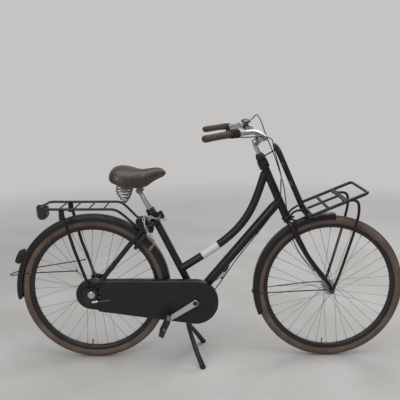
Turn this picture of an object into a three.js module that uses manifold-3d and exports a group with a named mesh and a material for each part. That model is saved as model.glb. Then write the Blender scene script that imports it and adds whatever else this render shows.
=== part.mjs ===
// A step-through Dutch city bike in millimetres: +X forward, +Y to the rider's left, +Z up.
// While modelling, x runs from the rear axle, y from the mid-plane and z from the ground. The tables of the
// fork, bar, front carrier and front stay count x from the front axle instead.
import * as THREE from 'three';
import { mergeVertices } from 'three/addons/utils/BufferGeometryUtils.js';
import Module from 'manifold-3d';

const wasm = await Module();
wasm.setup();

// Driving dimensions
const tyreRadius = 358;
const tyreWidth = 47;
const wheelbase = 1150;
const headAngle = 66.5;
const forkRake = 55;
const seatAngle = 64.3;
const crankLength = 170;
const bottomBracketX = 497;
const bottomBracketZ = 312;
const touchGap = 0.3;
const runningGap = 1;
const cutOverrun = 20;

// Number of sides or steps of round things
const wheelSegments = 40;
const tubeSides = 8;
const legSides = 6;
const rodSides = 5;
const wireSides = 4;
const spokeSides = 3;
const turnSegments = 12;
const axleSegments = 8;
const bendSteps = 2;
const tyreSectionSteps = 6;
const staySteps = 7;
const standSteps = 7;
const railSteps = 8;
const hookSteps = 6;
const armSteps = 6;
const reflectorSteps = 4;

// Shares that shape the construction itself
const bendLimitShare = 0.48;
const crosswiseShare = 0.8;

// Wheels
const tyreBeadHalf = 16.5;
const tyreBaseRadius = tyreRadius - tyreWidth / 2 - Math.sqrt((tyreWidth / 2) ** 2 - tyreBeadHalf ** 2);
const rimDepth = 18.5;
const rimOuterRadius = tyreBaseRadius - touchGap;
const rimInnerRadius = rimOuterRadius - rimDepth;
const rimWidth = 26;
const rimWellWidth = 14;
const spokeCount = 36;
const spokeRadius = 1.1;
const spokeCrossAngle = 60;
const spokePhase = -0.3;
const spokeEndGap = 1.2;
const spokeLift = 2.4;
const axleRadius = 4.8;
const axleBore = 5.4;
const frontHub = { right: 44, left: 30, flange: 28.5, shell: 19, neck: 13, flangeInset: 8, flangeWidth: 5 };
const rearHub = { right: 44, left: 52, flange: 36, shell: 29, neck: 15, flangeInset: 6, flangeWidth: 5 };
const driverRadius = 16;
const driverEnd = 56;
const frontDropoutInner = 50;
const rearDropoutInner = 63;
const dropoutWidth = 6;
const forkTipWidth = 5;
const coneRadius = 9;
const nutRadius = 9;
const nutWidth = 8;
const brakePlate = { radius: 27, width: 9, armWidth: 16, armLength: 92, armThickness: 5, armAngle: 127 };

// Frame tubes
const headTube = { radius: 19, bore: 16, start: 412, end: 670 };
const lowerCup = { radius: 23, start: 400 };
const upperCup = { radius: 25, end: 710 };
const bearingBore = 13.2;
const seatTubeRadius = 17.5;
const seatTubeLength = 474;
const seatTubeBoreStart = 90;
const downTubeRadius = 22.5;
const downTubeRise = 84;
const downTubeHeadReach = headTube.start + downTubeRise;
const topTubeRadius = 19;
const topTubeDrop = 10;
const topTubeHeadReach = headTube.end - topTubeDrop;
const topTubeBendShares = [[0.18, 0.52], [0.26, 0.62]];
const topTubeSeatReach = 160;
const topTubeSteps = 11;
const shellRadius = 20;
const shellHalfWidth = 35;
const shellBore = 17;
const shellLipWidth = 8;
const chainStayRadius = 9;
const chainStayRoute = [[479, 24, 312], [421, 34.5, 317], [380, 38.5, 321], [300, 44, 329], [24, 64.5, 356]];
const seatStayRadius = 8.5;
const seatStayRoute = [[12, 64.5, 374], [255, 57.5, 671], [292, 54, 688], [326, 10, 692]];
const stayBendReach = 18;
const stayBridge = { radius: 7, seat: 6.1, angle: -5, clearance: 1.5 };
const dropoutOutline = [[-30, 366], [-30, 404], [-6, 414], [40, 404], [52, 368], [38, 344], [-12, 340]];
const cableBoss = { radius: 5, height: 7, shares: [0.3, 0.7] };

// Seat clamp, seat post and saddle
const clampCollar = { radius: 22, start: 447, end: 496 };
const clampEar = { reach: 46, halfWidth: 11, start: 425, end: 462 };
const clampBolt = { radius: 4, halfLength: 22, reach: 30 };
const seatPostRadius = 14.3;
const seatPostStart = 350;
const seatPostEnd = 606;
const seatPostTaper = 30;
const postNeckRadius = 11;
const saddleClamp = { radius: 17, halfWidth: 24 };
const railRadius = 3.5;
const railRoute = [[349, 9, 916], [322, 15, 905], [296, 20, 890], [268, 22, 872], [205, 22, 862],
  [196, 26, 840], [187, 31, 817], [176, 39, 798.8], [164, 48, 797.8]];
const springCup = { radius: 12, thickness: 4 };
const saddleSpring = { x: 164, y: 48, bottom: 810, wire: 3, turns: 6 };
const springRadii = { bottom: 9, belly: 32, top: 27 };
const springBellyShare = 0.5;
const curlSteps = 8;
const curlSides = 5;
// Stations of the saddle: place, half width, top, lower edge and wall
const saddleStations = [[97, 50, 930, 911, 12], [106, 80, 947, 900, 13], [122, 96, 961, 894, 13],
  [148, 103, 967, 886, 13], [177, 102, 965, 876, 13], [205, 94, 959, 870, 13], [232, 79, 951, 868, 12],
  [255, 61, 948, 870, 12], [275, 48, 951, 877, 12], [298, 37, 955, 894, 11], [322, 30, 959, 906, 10],
  [345, 26, 956, 914, 9], [360, 20, 946, 919, 8], [367, 12, 938, 925, 5]];
const saddleCrownShares = [[1, 0], [0.99, 0.3], [0.9, 0.62], [0.68, 0.86], [0.36, 0.97], [0, 1]];
const saddleRecessShares = [[1, 0], [0.99, 0.7], [0.94, 1], [0, 1]];
const saddleBase = 896;
const saddleRecess = 9;

// Drivetrain
const chainLine = 50;
const ringTeeth = 38;
const sprocketTeeth = 19;
const chainPitch = 12.7;
const plateThickness = 2.5;
const toothDepth = 3.6;
const chainClearance = 1.4;
const chainHeight = 4.6;
const chainHalfWidth = 4;
const spindleRadius = 8.5;
const spindleBore = 9.4;
const crankArm = { inner: 82, thickness: 14, rootRadius: 16, tipRadius: 12, bossInner: 53, bossRadius: 14 };
const crankAngle = 212;
const pedalAxle = { radius: 6, length: 113 };
const pedal = { inner: 101, length: 96, width: 84, thickness: 25, plate: 3, barrel: 12, pad: 19, angle: 65 };

// Chaincase
const caseFront = { x: 498, z: 306, radius: 110 };
const caseRear = { x: -8, z: 346, radius: 76 };
const caseFace = 76;
const caseSplit = 41.5;
const caseBack = 37.5;
const caseWall = 1.8;
const caseBevel = 8;
const caseLid = 60;
const caseCut = { top: 53, bottom: 14 };
const hubHole = 43;
const spindleHole = 15.5;

// Mudguards
const rearGuard = { clearance: 18.5, half: 29, skirt: 31, tipSkirtShare: 0.95, spread: 7, start: -5, end: 188 };
const frontGuard = { clearance: 14, half: 29, skirt: 30, tipSkirtShare: 0.95, spread: 0, start: 87, end: 203 };
const guardWall = 1.6;
const guardShares = [[1, 1], [0.96, 0.22], [0.6, 0.04], [0, 0]];
const guardSideShare = 0.9;
const guardStep = 13;
const guardTipAngle = 8;
const guardTipShares = [0.94, 0.74, 0.34];
const stayWire = 2.8;
const rearGuardStayRoute = [[-62, 90, 478], [-287, 44, 455], [-345, 31.6, 447], [-377, 31.6, 441],
  [-404, 20, 435]];
const rearGuardStayApex = [-418, 0, 432];
const frontGuardStayRoute = [[-9, 60, 362], [-90, 58, 359], [-300, 40, 342], [-344, 34, 338],
  [-371, 31.6, 336.2]];
const frontGuardStayApex = [-374.9, 0, 335];

// Rear rack, lamp and reflector
const rackTube = 6;
const rackRoute = [[250, 71.6, 672], [211, 72, 701], [173, 80, 740], [133, 91, 775], [-150, 91, 777]];
const rackRear = [-222, 0, 779];
const rackCorner = 42;
const rackRodXs = [-134, -65, 5, 75];
const rackRodRadius = 4;
const rackLegRadius = 7.5;
const rackLegRoute = [[-120, 91, 771], [-73, 80, 578], [-41, 82, 482], [-16, 75.8, 402]];
const rackLegBend = 22;
const rackPlate = { x: -120, z: 748, width: 26, height: 46, thickness: 5 };
const lampOutline = [[-259, 770], [-255, 786], [-231, 788], [-228.6, 784], [-228.6, 772.4], [-210, 772.4],
  [-209, 730], [-220, 712], [-244, 710], [-256, 724]];
const lampHalfWidth = 25;
const reflectorReach = 27;
const reflectorAngles = [149, 160];
const reflectorHalfWidth = 15;
const reflectorShoulderShares = { reach: 0.7, turn: 0.3 };

// Ring lock
const lock = { x: 237.1, z: 610.7, lean: 57, ring: 56, inner: 50, outer: 63.5, depth: 18, gapAngle: 31 };
const lockBodyOutline = [[215, 712], [263, 716], [303, 660], [293, 639], [219, 684]];
const lockBody = { half: 40, bevel: 5 };
const lockPad = { centre: [252, 46, 672], size: [22, 20, 18] };
const shackle = { radius: 4, start: -32, end: -120, clearance: 0.9, swing: 66 };
const lockKnob = { reach: 17, radius: 4, angle: -106, slotEnd: 7, clearance: 1.2 };
const lockSteps = 12;
const lockSlotSteps = 7;
const lockBoltSteps = 10;
const channelSides = 6;
const channelSteps = 28;
const linkSides = 3;
const linkSteps = 5;
const linkWire = 2.5;
const linkLength = 23;
const linkWidth = 5;
const linkPitchShare = 0.78;
const lockChainRoute = [[353.2, -9.1, 705.7], [333.5, -24, 712.3], [303, -35, 719], [276, -34, 727],
  [262, -44, 727], [258, -62, 716], [266, -74, 690], [281, -74, 655], [300, -68, 625], [304, -62, 600],
  [288, -58, 577]];

// Kickstand
const standPivot = { x: 462, z: 222 };
const standLeg = { topRadius: 9.5, footRadius: 13.5 };
const standPin = 6;
const standRoute = [[462, 28, 222], [457, 27, 190], [459, 24.5, 166], [465, 30.5, 146], [482, 66, 106],
  [506, 110, 53], [530, 141, 0]];
const standFoot = { radius: 14.5, height: 10 };
const standCheek = { half: 17.5, thickness: 5, width: 24 };
const standPlate = { x: 455, length: 62, half: 27, z: 297, thickness: 6 };

// Gear click box
const clickBox = { x: -6, z: 346, width: 64, height: 82, depth: 19, bevel: 5 };

// Fork and steering
const steererRadius = 12.7;
const steererBore = 11.4;
const steererStart = 384;
const steererEnd = 738;
const crownRace = { radius: 20, start: 389 };
const bladeRoute = [[-204.5, 0, 690.5], [-204, 24, 689.5], [-198, 41, 679], [-182, 46.5, 655],
  [-143, 47.5, 578], [-113, 48.5, 524], [-78, 50, 473], [-43, 51, 428], [-13, 52, 392], [1, 52.5, 370]];
const bladeRadii = [12.5, 12.5, 12.5, 13, 13, 12, 11, 10, 9, 7.5];
const forkTip = { radius: 13, neckShare: 0.5 };
const guardBolt = 5;
const quillRadius = 11;
const quillStart = 560;
const stemTop = 800;
const barClampRadius = 19;
const barClampHalf = 19;
const barRadius = 11.1;
const barBulgeRadius = 12.7;
const barBulgeHalf = 24;
const barCentre = [-349, 0, 1085];
const barRoute = [[-323, 60, 1091], [-360, 115, 1117], [-389, 165, 1129], [-440, 235, 1130],
  [-493, 270, 1128], [-600, 298, 1112]];
const gripRadius = 16.5;
const gripLength = 112;
const gripFlange = 18.5;
const shifter = { radius: 19, length: 36, gap: 4.5, clearance: 2.3 };
const knuckleShare = 1.25;
const barSteps = 22;
const bellSides = 14;
const sleeveGap = 1.2;
const sleeveClearance = 0.7;
const bellBase = { radius: 13, height: 9 };
const bellDome = { radius: 25, height: 20, lip: 5, y: 190 };
const bellDomeShares = [[0.92, 0.6], [0.6, 0.95], [0, 1]];
const bellLever = { length: 44, width: 7, thickness: 3, rise: 3, rim: 4, angle: 20 };
const leverMount = { radius: 15.5, width: 22, drop: 34, thickness: 17, cheek: 4, pin: 3.5, foot: 9 };
const leverRoute = [[0, 0, 0], [26, 12, 1], [64, 20, 6], [106, 19, 20], [128, 22, 29]];
const leverRadius = 6.5;
const leverTipShare = 0.65;
const leverSteps = 8;

// Front carrier
const lockPlate = { radius: 22, start: 711, end: 731, dome: 742, neck: 18 };
const carrierTube = 7.5;
const carrierOffset = 88;
const backFrame = { half: 80, top: 744, low: 388, corner: 38, crossShares: [0.27, 0.55], crossWide: 15 };
const carrierLink = { reach: 716, radius: 3.5 };
const platformRear = [-118, 150, 749];
const platformFront = [132, 150, 851];
const platformCorner = 26;
const platformRodShares = [0.3, 0.62];
const platformRodWidths = [7, 11];
const platformRailShare = 0.02;
const platformSpineShare = 0.8;
const carrierLegRoute = [[26, 102, 808], [102, 102, 808], [108, 102, 752], [90, 100, 663], [34, 90, 459],
  [0, 78.5, 358]];
const carrierLegBend = 34;
const carrierLegRadius = 6.5;
const legEye = { radius: 11, inner: 74, width: 9 };
const carrierHook = { reach: 415, radius: 5 };
const carrierHookRoute = [[-160, 44, 751], [-188, 30, 735], [-196, 33, 720], [-188, 36, 705],
  [-168, 40, 700]];

// Cables
const cableRadius = 2.5;
const brakeCableRoute = [[-471.6, 258, 1112.5], [-438, 250, 1114], [-398, 236, 1140], [-362, 196, 1170],
  [-344, 150, 1190], [-328, 112, 1165], [-311, 88, 1113], [-250, 84, 960], [-215, 78, 840],
  [-200, 66, 720], [-175, 64, 600], [-140, 61, 520], [-100, 56, 465], [-72, 47, 433], [-60.4, 41.9, 421.5]];
const upperShiftRoute = [[-453.4, -246.4, 1114.5], [-428, -238, 1113], [-384, -206, 1112],
  [-344, -130, 1108], [-300, -62, 1092], [-282, 0, 1072], [-272.8, 36, 1040.5], [-256, 48, 985],
  [-242, 40, 935], [-238, 14, 901]];
const lowerShiftHeadRoute = [[-240, 8, 893], [-242, -14, 858], [-252, -29, 790], [-290, -27, 722]];
const lowerShiftMiddle = { share: 0.47, lift: 5 };
const lowerShiftRoute = [[556, -28, 314], [502, -33, 278], [440, -33, 292], [340, -36, 306], [250, -50, 319],
  [150, -54, 327], [60, -66, 334], [27.5, -73, 338]];
const cableBend = 30;

const black = { color: 0x17171a, roughness: 0.55, metalness: 0.2 };
const steel = { color: 0xb9bbbd, roughness: 0.3, metalness: 1 };
const darkSteel = { color: 0x6d6e70, roughness: 0.4, metalness: 1 };
const brownTyre = { color: 0x6b4a3c, roughness: 0.85, metalness: 0 };
const leather = { color: 0x3d2a24, roughness: 0.5, metalness: 0 };
const gripBrown = { color: 0x40342e, roughness: 0.8, metalness: 0 };
const rubber = { color: 0x1c1b1b, roughness: 0.9, metalness: 0 };
const plastic = { color: 0x222224, roughness: 0.5, metalness: 0 };
const redPlastic = { color: 0x6d1712, roughness: 0.25, metalness: 0 };

const turn = THREE.MathUtils.degToRad(1);
const left = new THREE.Vector3(0, 1, 0);
const forward = new THREE.Vector3(1, 0, 0);
const bike = new THREE.Group();

function vector(point, side = 1) {
  return new THREE.Vector3(point[0], point[1] * side, point[2]);
}

function route(points, side = 1) {
  return points.map((point) => vector(point, side));
}

// Places given ahead of the front axle
function frontRoute(points, side = 1) {
  return route(points.map(([x, y, z]) => [wheelbase + x, y, z]), side);
}

function polar(centre, radius, angle) {
  return [centre[0] + radius * Math.cos(angle * turn), centre[1] + radius * Math.sin(angle * turn)];
}

// The direction and places along the head axis, measured up from the point nearest the front axle
const headUp = new THREE.Vector3(-Math.cos(headAngle * turn), 0, Math.sin(headAngle * turn));
const headForward = new THREE.Vector3(Math.sin(headAngle * turn), 0, Math.cos(headAngle * turn));
const frontAxle = new THREE.Vector3(wheelbase, 0, tyreRadius);
const rearAxle = new THREE.Vector3(0, 0, tyreRadius);
const headFoot = frontAxle.clone().addScaledVector(headForward, -forkRake);
const bottomBracket = new THREE.Vector3(bottomBracketX, 0, bottomBracketZ);
const seatUp = new THREE.Vector3(-Math.cos(seatAngle * turn), 0, Math.sin(seatAngle * turn));

function onHead(reach, ahead = 0, y = 0) {
  return headFoot.clone().addScaledVector(headUp, reach).addScaledVector(headForward, ahead).setY(y);
}

function onSeat(reach) {
  return bottomBracket.clone().addScaledVector(seatUp, reach);
}

// A path whose own points are the stations of an extrusion; the section keeps its side and can be stretched
class StationPath extends THREE.Curve {
  constructor(points, side, stretches) {
    super();
    this.points = points;
    this.side = side;
    this.stretches = stretches;
  }

  getPoint(share) {
    return this.points[Math.round(share * (this.points.length - 1))].clone();
  }

  getSpacedPoints() {
    return this.points;
  }

  computeFrenetFrames() {
    const last = this.points.length - 1;
    const steps = this.points.slice(1).map((point, i) => point.clone().sub(this.points[i]).normalize());
    const tangents = this.points.map((_, i) => {
      const before = steps[Math.max(i - 1, 0)];
      const after = steps[Math.min(i, last - 1)];
      return before.clone().add(after).normalize();
    });
    let normal = this.side;
    const normals = [];
    const binormals = [];
    tangents.forEach((tangent, i) => {
      normal = normal.clone().addScaledVector(tangent, -normal.dot(tangent)).normalize();
      const [wide, deep] = this.stretches ? this.stretches[i] : [1, 1];
      binormals.push(new THREE.Vector3().crossVectors(tangent, normal).multiplyScalar(deep));
      normals.push(normal.clone().multiplyScalar(wide));
    });
    return { tangents, normals, binormals };
  }
}

function sweep(shape, points, side = left, stretches = null) {
  const extrudePath = new StationPath(points, side, stretches);
  return new THREE.ExtrudeGeometry(shape, { steps: points.length - 1, extrudePath });
}

function circle(radius, sides) {
  const corners = [];
  for (let i = 0; i < sides; i += 1) {
    corners.push(new THREE.Vector2(...polar([0, 0], radius, (360 * (i + 0.5)) / sides)));
  }
  return new THREE.Shape(corners);
}

function rectangle(width, height) {
  const corners = [[-0.5, -0.5], [0.5, -0.5], [0.5, 0.5], [-0.5, 0.5]];
  return new THREE.Shape(corners.map(([u, v]) => new THREE.Vector2(u * width, v * height)));
}

function sideFor(points) {
  const along = points[points.length - 1].clone().sub(points[0]).normalize();
  return Math.abs(along.y) > crosswiseShare ? forward : left;
}

function tube(points, radius, sides = tubeSides) {
  const radii = Array.isArray(radius) ? radius.map((r) => [r, r]) : null;
  return sweep(circle(radii ? 1 : radius, sides), points, sideFor(points), radii);
}

// A polyline whose inner corners are rounded, each bend starting a given reach from its corner
function bent(corners, reach) {
  const points = [corners[0]];
  corners.slice(1, -1).forEach((corner, i) => {
    const before = corners[i];
    const after = corners[i + 2];
    const nearest = Math.min(before.distanceTo(corner), after.distanceTo(corner));
    const drawn = Math.min(reach, nearest * bendLimitShare);
    const start = corner.clone().lerp(before, drawn / before.distanceTo(corner));
    const end = corner.clone().lerp(after, drawn / after.distanceTo(corner));
    points.push(...new THREE.QuadraticBezierCurve3(start, corner, end).getPoints(bendSteps));
  });
  points.push(corners[corners.length - 1]);
  return points;
}

function smooth(corners, steps) {
  return new THREE.CatmullRomCurve3(corners, false, 'centripetal').getSpacedPoints(steps);
}

// A plate whose outline lies in the x-z plane, between two values of y
function plate(outline, yStart, yEnd, bevel = 0) {
  const shape = new THREE.Shape(outline.map(([x, z]) => new THREE.Vector2(x, z)));
  const depth = yEnd - yStart - 2 * bevel;
  const options = { depth, bevelEnabled: bevel > 0, bevelSegments: 1, bevelSize: bevel };
  options.bevelThickness = bevel;
  options.bevelOffset = -bevel;
  return new THREE.ExtrudeGeometry(shape, options).rotateX(90 * turn).translate(0, yEnd - bevel, 0);
}

function box(centre, size, lean = 0) {
  return new THREE.BoxGeometry(...size).rotateY(-lean * turn).translate(centre.x, centre.y, centre.z);
}

// A turned piece: its profile holds a radius and a place along the axis, counted from the origin
function turned(profile, origin, axis, segments = turnSegments) {
  const geometry = new THREE.LatheGeometry(profile.map(([r, h]) => new THREE.Vector2(r, h)), segments);
  geometry.applyQuaternion(new THREE.Quaternion().setFromUnitVectors(left, axis));
  return geometry.translate(origin.x, origin.y, origin.z);
}

function closed(profile) {
  return [...profile, profile[0]];
}

// A round bar between two places along an axis
function bar(radius, start, end, origin, axis, segments = turnSegments) {
  return turned([[0, start], [radius, start], [radius, end], [0, end]], origin, axis, segments);
}

function solid(geometry) {
  const bare = geometry.clone();
  bare.deleteAttribute('normal');
  bare.deleteAttribute('uv');
  const merged = mergeVertices(bare);
  const vertProperties = new Float32Array(merged.attributes.position.array);
  const triVerts = new Uint32Array(merged.index.array);
  return new wasm.Manifold(new wasm.Mesh({ numProp: 3, vertProperties, triVerts }));
}

function geometryOf(body) {
  const mesh = body.getMesh();
  const geometry = new THREE.BufferGeometry();
  geometry.setAttribute('position', new THREE.BufferAttribute(new Float32Array(mesh.vertProperties), 3));
  geometry.setIndex(new THREE.BufferAttribute(new Uint32Array(mesh.triVerts), 1));
  geometry.computeVertexNormals();
  return geometry;
}

function union(...pieces) {
  return geometryOf(pieces.map(solid).reduce((sum, piece) => sum.add(piece)));
}

function cut(geometry, ...cutters) {
  return geometryOf(cutters.map(solid).reduce((rest, cutter) => rest.subtract(cutter), solid(geometry)));
}

// The largest body of a cut piece, without the slivers beside it
function mainBody(geometry) {
  const bodies = solid(geometry).decompose().sort((a, b) => b.volume() - a.volume());
  return geometryOf(bodies[0]);
}

function add(name, geometry, look) {
  const mesh = new THREE.Mesh(geometry, new THREE.MeshStandardMaterial(look));
  mesh.name = name;
  bike.add(mesh);
}

function mirror(points) {
  return points.map((point) => new THREE.Vector3(point.x, -point.y, point.z));
}

function headCutter(radius) {
  return bar(radius, lowerCup.start, upperCup.end, headFoot, headUp);
}

function seatCutter(radius) {
  return bar(radius, -shellRadius, seatTubeLength, bottomBracket, seatUp);
}

// Frame
function makeHeadTube() {
  const { radius, bore, start, end } = headTube;
  const profile = [[bearingBore, lowerCup.start], [lowerCup.radius, lowerCup.start], [lowerCup.radius, start],
    [radius, start], [radius, end], [upperCup.radius, end], [upperCup.radius, upperCup.end],
    [bearingBore, upperCup.end], [bearingBore, end + shellLipWidth], [bore, end], [bore, start],
    [bearingBore, start - shellLipWidth / 2]];
  add('head_tube', turned(closed(profile), headFoot, headUp), black);
}

function makeTopTube() {
  const head = onHead(topTubeHeadReach);
  const seat = onSeat(topTubeSeatReach);
  const pulls = topTubeBendShares.map(([run, drop]) => {
    return new THREE.Vector3(head.x + (seat.x - head.x) * run, 0, head.z + (seat.z - head.z) * drop);
  });
  const points = new THREE.CubicBezierCurve3(head, ...pulls, seat).getSpacedPoints(topTubeSteps);
  const blank = tube(points, topTubeRadius, turnSegments);
  const cupRoom = bar(upperCup.radius + touchGap, headTube.end - touchGap, upperCup.end, headFoot, headUp);
  const cutters = [headCutter(headTube.radius + touchGap), cupRoom, seatCutter(seatTubeRadius + touchGap)];
  add('top_tube', mainBody(cut(blank, ...cutters)), black);
}

function downTubeEnds() {
  return [onHead(downTubeHeadReach), bottomBracket];
}

function makeDownTube() {
  const [top, foot] = downTubeEnds();
  const along = foot.clone().sub(top).normalize();
  const under = new THREE.Vector3(-along.z, 0, along.x);
  const outward = under.z > 0 ? under.negate() : under;
  const bosses = cableBoss.shares.map((share) => {
    const seat = top.clone().lerp(foot, share);
    return bar(cableBoss.radius, 0, downTubeRadius + cableBoss.height, seat, outward, rodSides);
  });
  const blank = union(tube([top, foot], downTubeRadius, turnSegments), ...bosses);
  const shell = bar(shellRadius + touchGap, -shellHalfWidth, shellHalfWidth, bottomBracket, left);
  const cutters = [headCutter(headTube.radius + touchGap), shell, seatCutter(seatTubeRadius + touchGap)];
  add('down_tube', mainBody(cut(blank, ...cutters)), black);
}

function makeSeatTube() {
  const blank = union(
    bar(seatTubeRadius, 0, seatTubeLength, bottomBracket, seatUp),
    bar(shellRadius, -shellHalfWidth, shellHalfWidth, bottomBracket, left),
  );
  const lip = shellHalfWidth - shellLipWidth;
  const over = shellHalfWidth + cutOverrun;
  const profile = [[0, -over], [spindleBore, -over], [spindleBore, -lip], [shellBore, -lip], [shellBore, lip],
    [spindleBore, lip], [spindleBore, over], [0, over]];
  const bore = turned(profile, bottomBracket, left);
  const boreEnd = seatTubeLength + cutOverrun;
  const postBore = bar(seatPostRadius + touchGap, seatTubeBoreStart, boreEnd, bottomBracket, seatUp);
  add('seat_tube', cut(blank, bore, postBore), black);
}

function chainStay(side, radius) {
  return tube(smooth(route(chainStayRoute, side), staySteps), radius, legSides);
}

function seatStay(side, radius) {
  return tube(bent(route(seatStayRoute, side), stayBendReach), radius, legSides);
}

function rearTriangle(side) {
  const near = rearDropoutInner * side;
  const far = (rearDropoutInner + dropoutWidth) * side;
  const dropout = plate(dropoutOutline, Math.min(near, far), Math.max(near, far));
  const pieces = [chainStay(side, chainStayRadius), seatStay(side, seatStayRadius), dropout];
  if (side < 0) {
    const reach = guardRadius(rearGuard) + stayBridge.seat + touchGap;
    const [x, z] = polar([0, tyreRadius], reach, stayBridge.angle);
    const half = chainStayRoute[2][1] - chainStayRadius - stayBridge.clearance;
    const seat = new THREE.Vector3(x, 0, z);
    pieces.push(bar(stayBridge.radius, -half - stayBridge.radius, half, seat, left, legSides));
  }
  const inside = Math.min(near, -near) - cutOverrun;
  const axle = bar(axleBore, inside, -inside, rearAxle, left);
  const shell = bar(shellRadius + touchGap, -shellHalfWidth, shellHalfWidth, bottomBracket, left);
  return cut(union(...pieces), axle, shell, seatCutter(seatTubeRadius + touchGap), wheelClearance());
}

// The room that the rear hub's ends and nuts need between the dropouts
function wheelClearance() {
  const half = rearDropoutInner;
  return bar(coneRadius + chainStayRadius, -half, half, rearAxle, left);
}

function makeSeatClamp() {
  const { radius, start, end } = clampCollar;
  const collar = bar(radius, start, end, bottomBracket, seatUp);
  const middle = onSeat((clampEar.start + clampEar.end) / 2);
  const lean = 90 - seatAngle;
  const size = [clampEar.reach, clampEar.halfWidth * 2, clampEar.end - clampEar.start];
  const across = new THREE.Vector3(seatUp.z, 0, -seatUp.x);
  const ear = box(middle.clone().addScaledVector(across, clampEar.reach / 2), size, lean);
  const boltSeat = middle.clone().addScaledVector(across, clampBolt.reach);
  const bolt = bar(clampBolt.radius, -clampBolt.halfLength, clampBolt.halfLength, boltSeat, left, rodSides);
  const tubeRoom = bar(seatTubeRadius + touchGap, 0, seatTubeLength + touchGap, bottomBracket, seatUp);
  const postRoom = bar(seatPostRadius + touchGap, 0, end + cutOverrun, bottomBracket, seatUp);
  add('seat_clamp', cut(union(collar, ear, bolt), tubeRoom, postRoom), black);
}

// Chaincase: the outline around two discs, drawn in by an inset
function hull(front, rear, inset = 0, steps = turnSegments) {
  const dx = front.x - rear.x;
  const dz = front.z - rear.z;
  const span = Math.hypot(dx, dz);
  const slope = Math.atan2(dz, dx) / turn;
  const spread = Math.acos((rear.radius - front.radius) / span) / turn;
  const points = [];
  for (let i = 0; i <= steps; i += 1) {
    const angle = slope - spread + (2 * spread * i) / steps;
    points.push(polar([front.x, front.z], front.radius - inset, angle));
  }
  for (let i = 0; i <= steps; i += 1) {
    const angle = slope + spread + ((360 - 2 * spread) * i) / steps;
    points.push(polar([rear.x, rear.z], rear.radius - inset, angle));
  }
  return points;
}

function caseFrontRoom() {
  const top = caseFront.z + caseFront.radius + cutOverrun;
  const low = caseFront.z - caseFront.radius - cutOverrun;
  const rear = caseRear.x - caseRear.radius - cutOverrun;
  return [[rear, low], [caseCut.bottom, low], [caseCut.top, top], [rear, top]];
}

function makeChaincase() {
  const stayRoom = chainStay(-1, chainStayRadius + runningGap);
  const upperStayRoom = seatStay(-1, seatStayRadius + runningGap);
  const cableRoom = tube(bent(lowerShiftPoints(), cableBend), cableRadius + runningGap, wireSides);
  const full = hull(caseFront, caseRear);
  const hollow = hull(caseFront, caseRear, caseWall);
  const deep = caseSplit - cutOverrun - caseBevel;
  const shell = plate(full, -caseFace, -deep, caseBevel);
  const inner = plate(hollow, -caseFace + caseWall, -deep + cutOverrun, caseBevel);
  const back = plate(rectangleOutline(caseFront, caseRear), -caseSplit, cutOverrun);
  const rearCut = plate(caseFrontRoom(), -caseFace - cutOverrun, cutOverrun);
  const spindle = bar(spindleHole, -caseFace - cutOverrun, 0, bottomBracket, left);
  add('chaincase_outer', cut(shell, inner, back, rearCut, spindle, upperStayRoom), black);

  const flat = plate(hollow, -caseSplit + touchGap, -caseBack);
  const hub = bar(hubHole, -caseFace, 0, rearAxle, left);
  const shellHole = bar(shellRadius + runningGap, -caseFace, 0, bottomBracket, left);
  add('chaincase_inner', cut(flat, hub, shellHole, stayRoom, standRoom(), cableRoom), black);

  const lid = plate(hull(caseFront, caseRear, caseWall), -caseLid, -caseSplit);
  const lidHollow = plate(hull(caseFront, caseRear, 2 * caseWall), -caseLid + caseWall, 0);
  const ahead = caseFront.x + caseFront.radius + cutOverrun;
  const top = caseFront.z + caseFront.radius + cutOverrun;
  const low = caseFront.z - caseFront.radius - cutOverrun;
  const kept = [[caseCut.bottom - touchGap, low], [ahead, low], [ahead, top], [caseCut.top - touchGap, top]];
  const frontCut = plate(kept, -caseFace, 0);
  const axleHole = bar(coneRadius + driverRadius, -caseFace, 0, rearAxle, left);
  const cover = cut(lid, lidHollow, frontCut, axleHole, stayRoom, upperStayRoom);
  add('chaincase_rear_cover', mainBody(cover), black);
}

function rectangleOutline(front, rear) {
  const right = front.x + front.radius + cutOverrun;
  const back = rear.x - rear.radius - cutOverrun;
  const low = Math.min(front.z - front.radius, rear.z - rear.radius) - cutOverrun;
  const high = Math.max(front.z + front.radius, rear.z + rear.radius) + cutOverrun;
  return [[back, low], [right, low], [right, high], [back, high]];
}

function standRoom() {
  const half = standCheek.half + standCheek.thickness;
  const pivot = new THREE.Vector3(standPivot.x, 0, standPivot.z);
  return bar(standPin + standLeg.topRadius, -half - cutOverrun, half, pivot, left);
}

function pitchRadius(teeth) {
  return chainPitch / 2 / Math.sin((180 / teeth) * turn);
}

function toothedOutline(centre, teeth) {
  const tip = pitchRadius(teeth) + toothDepth / 2;
  const root = pitchRadius(teeth) - toothDepth / 2;
  const step = 360 / teeth;
  const points = [];
  for (let i = 0; i < teeth; i += 1) {
    points.push(polar(centre, root, i * step));
    points.push(polar(centre, tip, (i + 1 / 2) * step));
  }
  return points;
}

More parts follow.
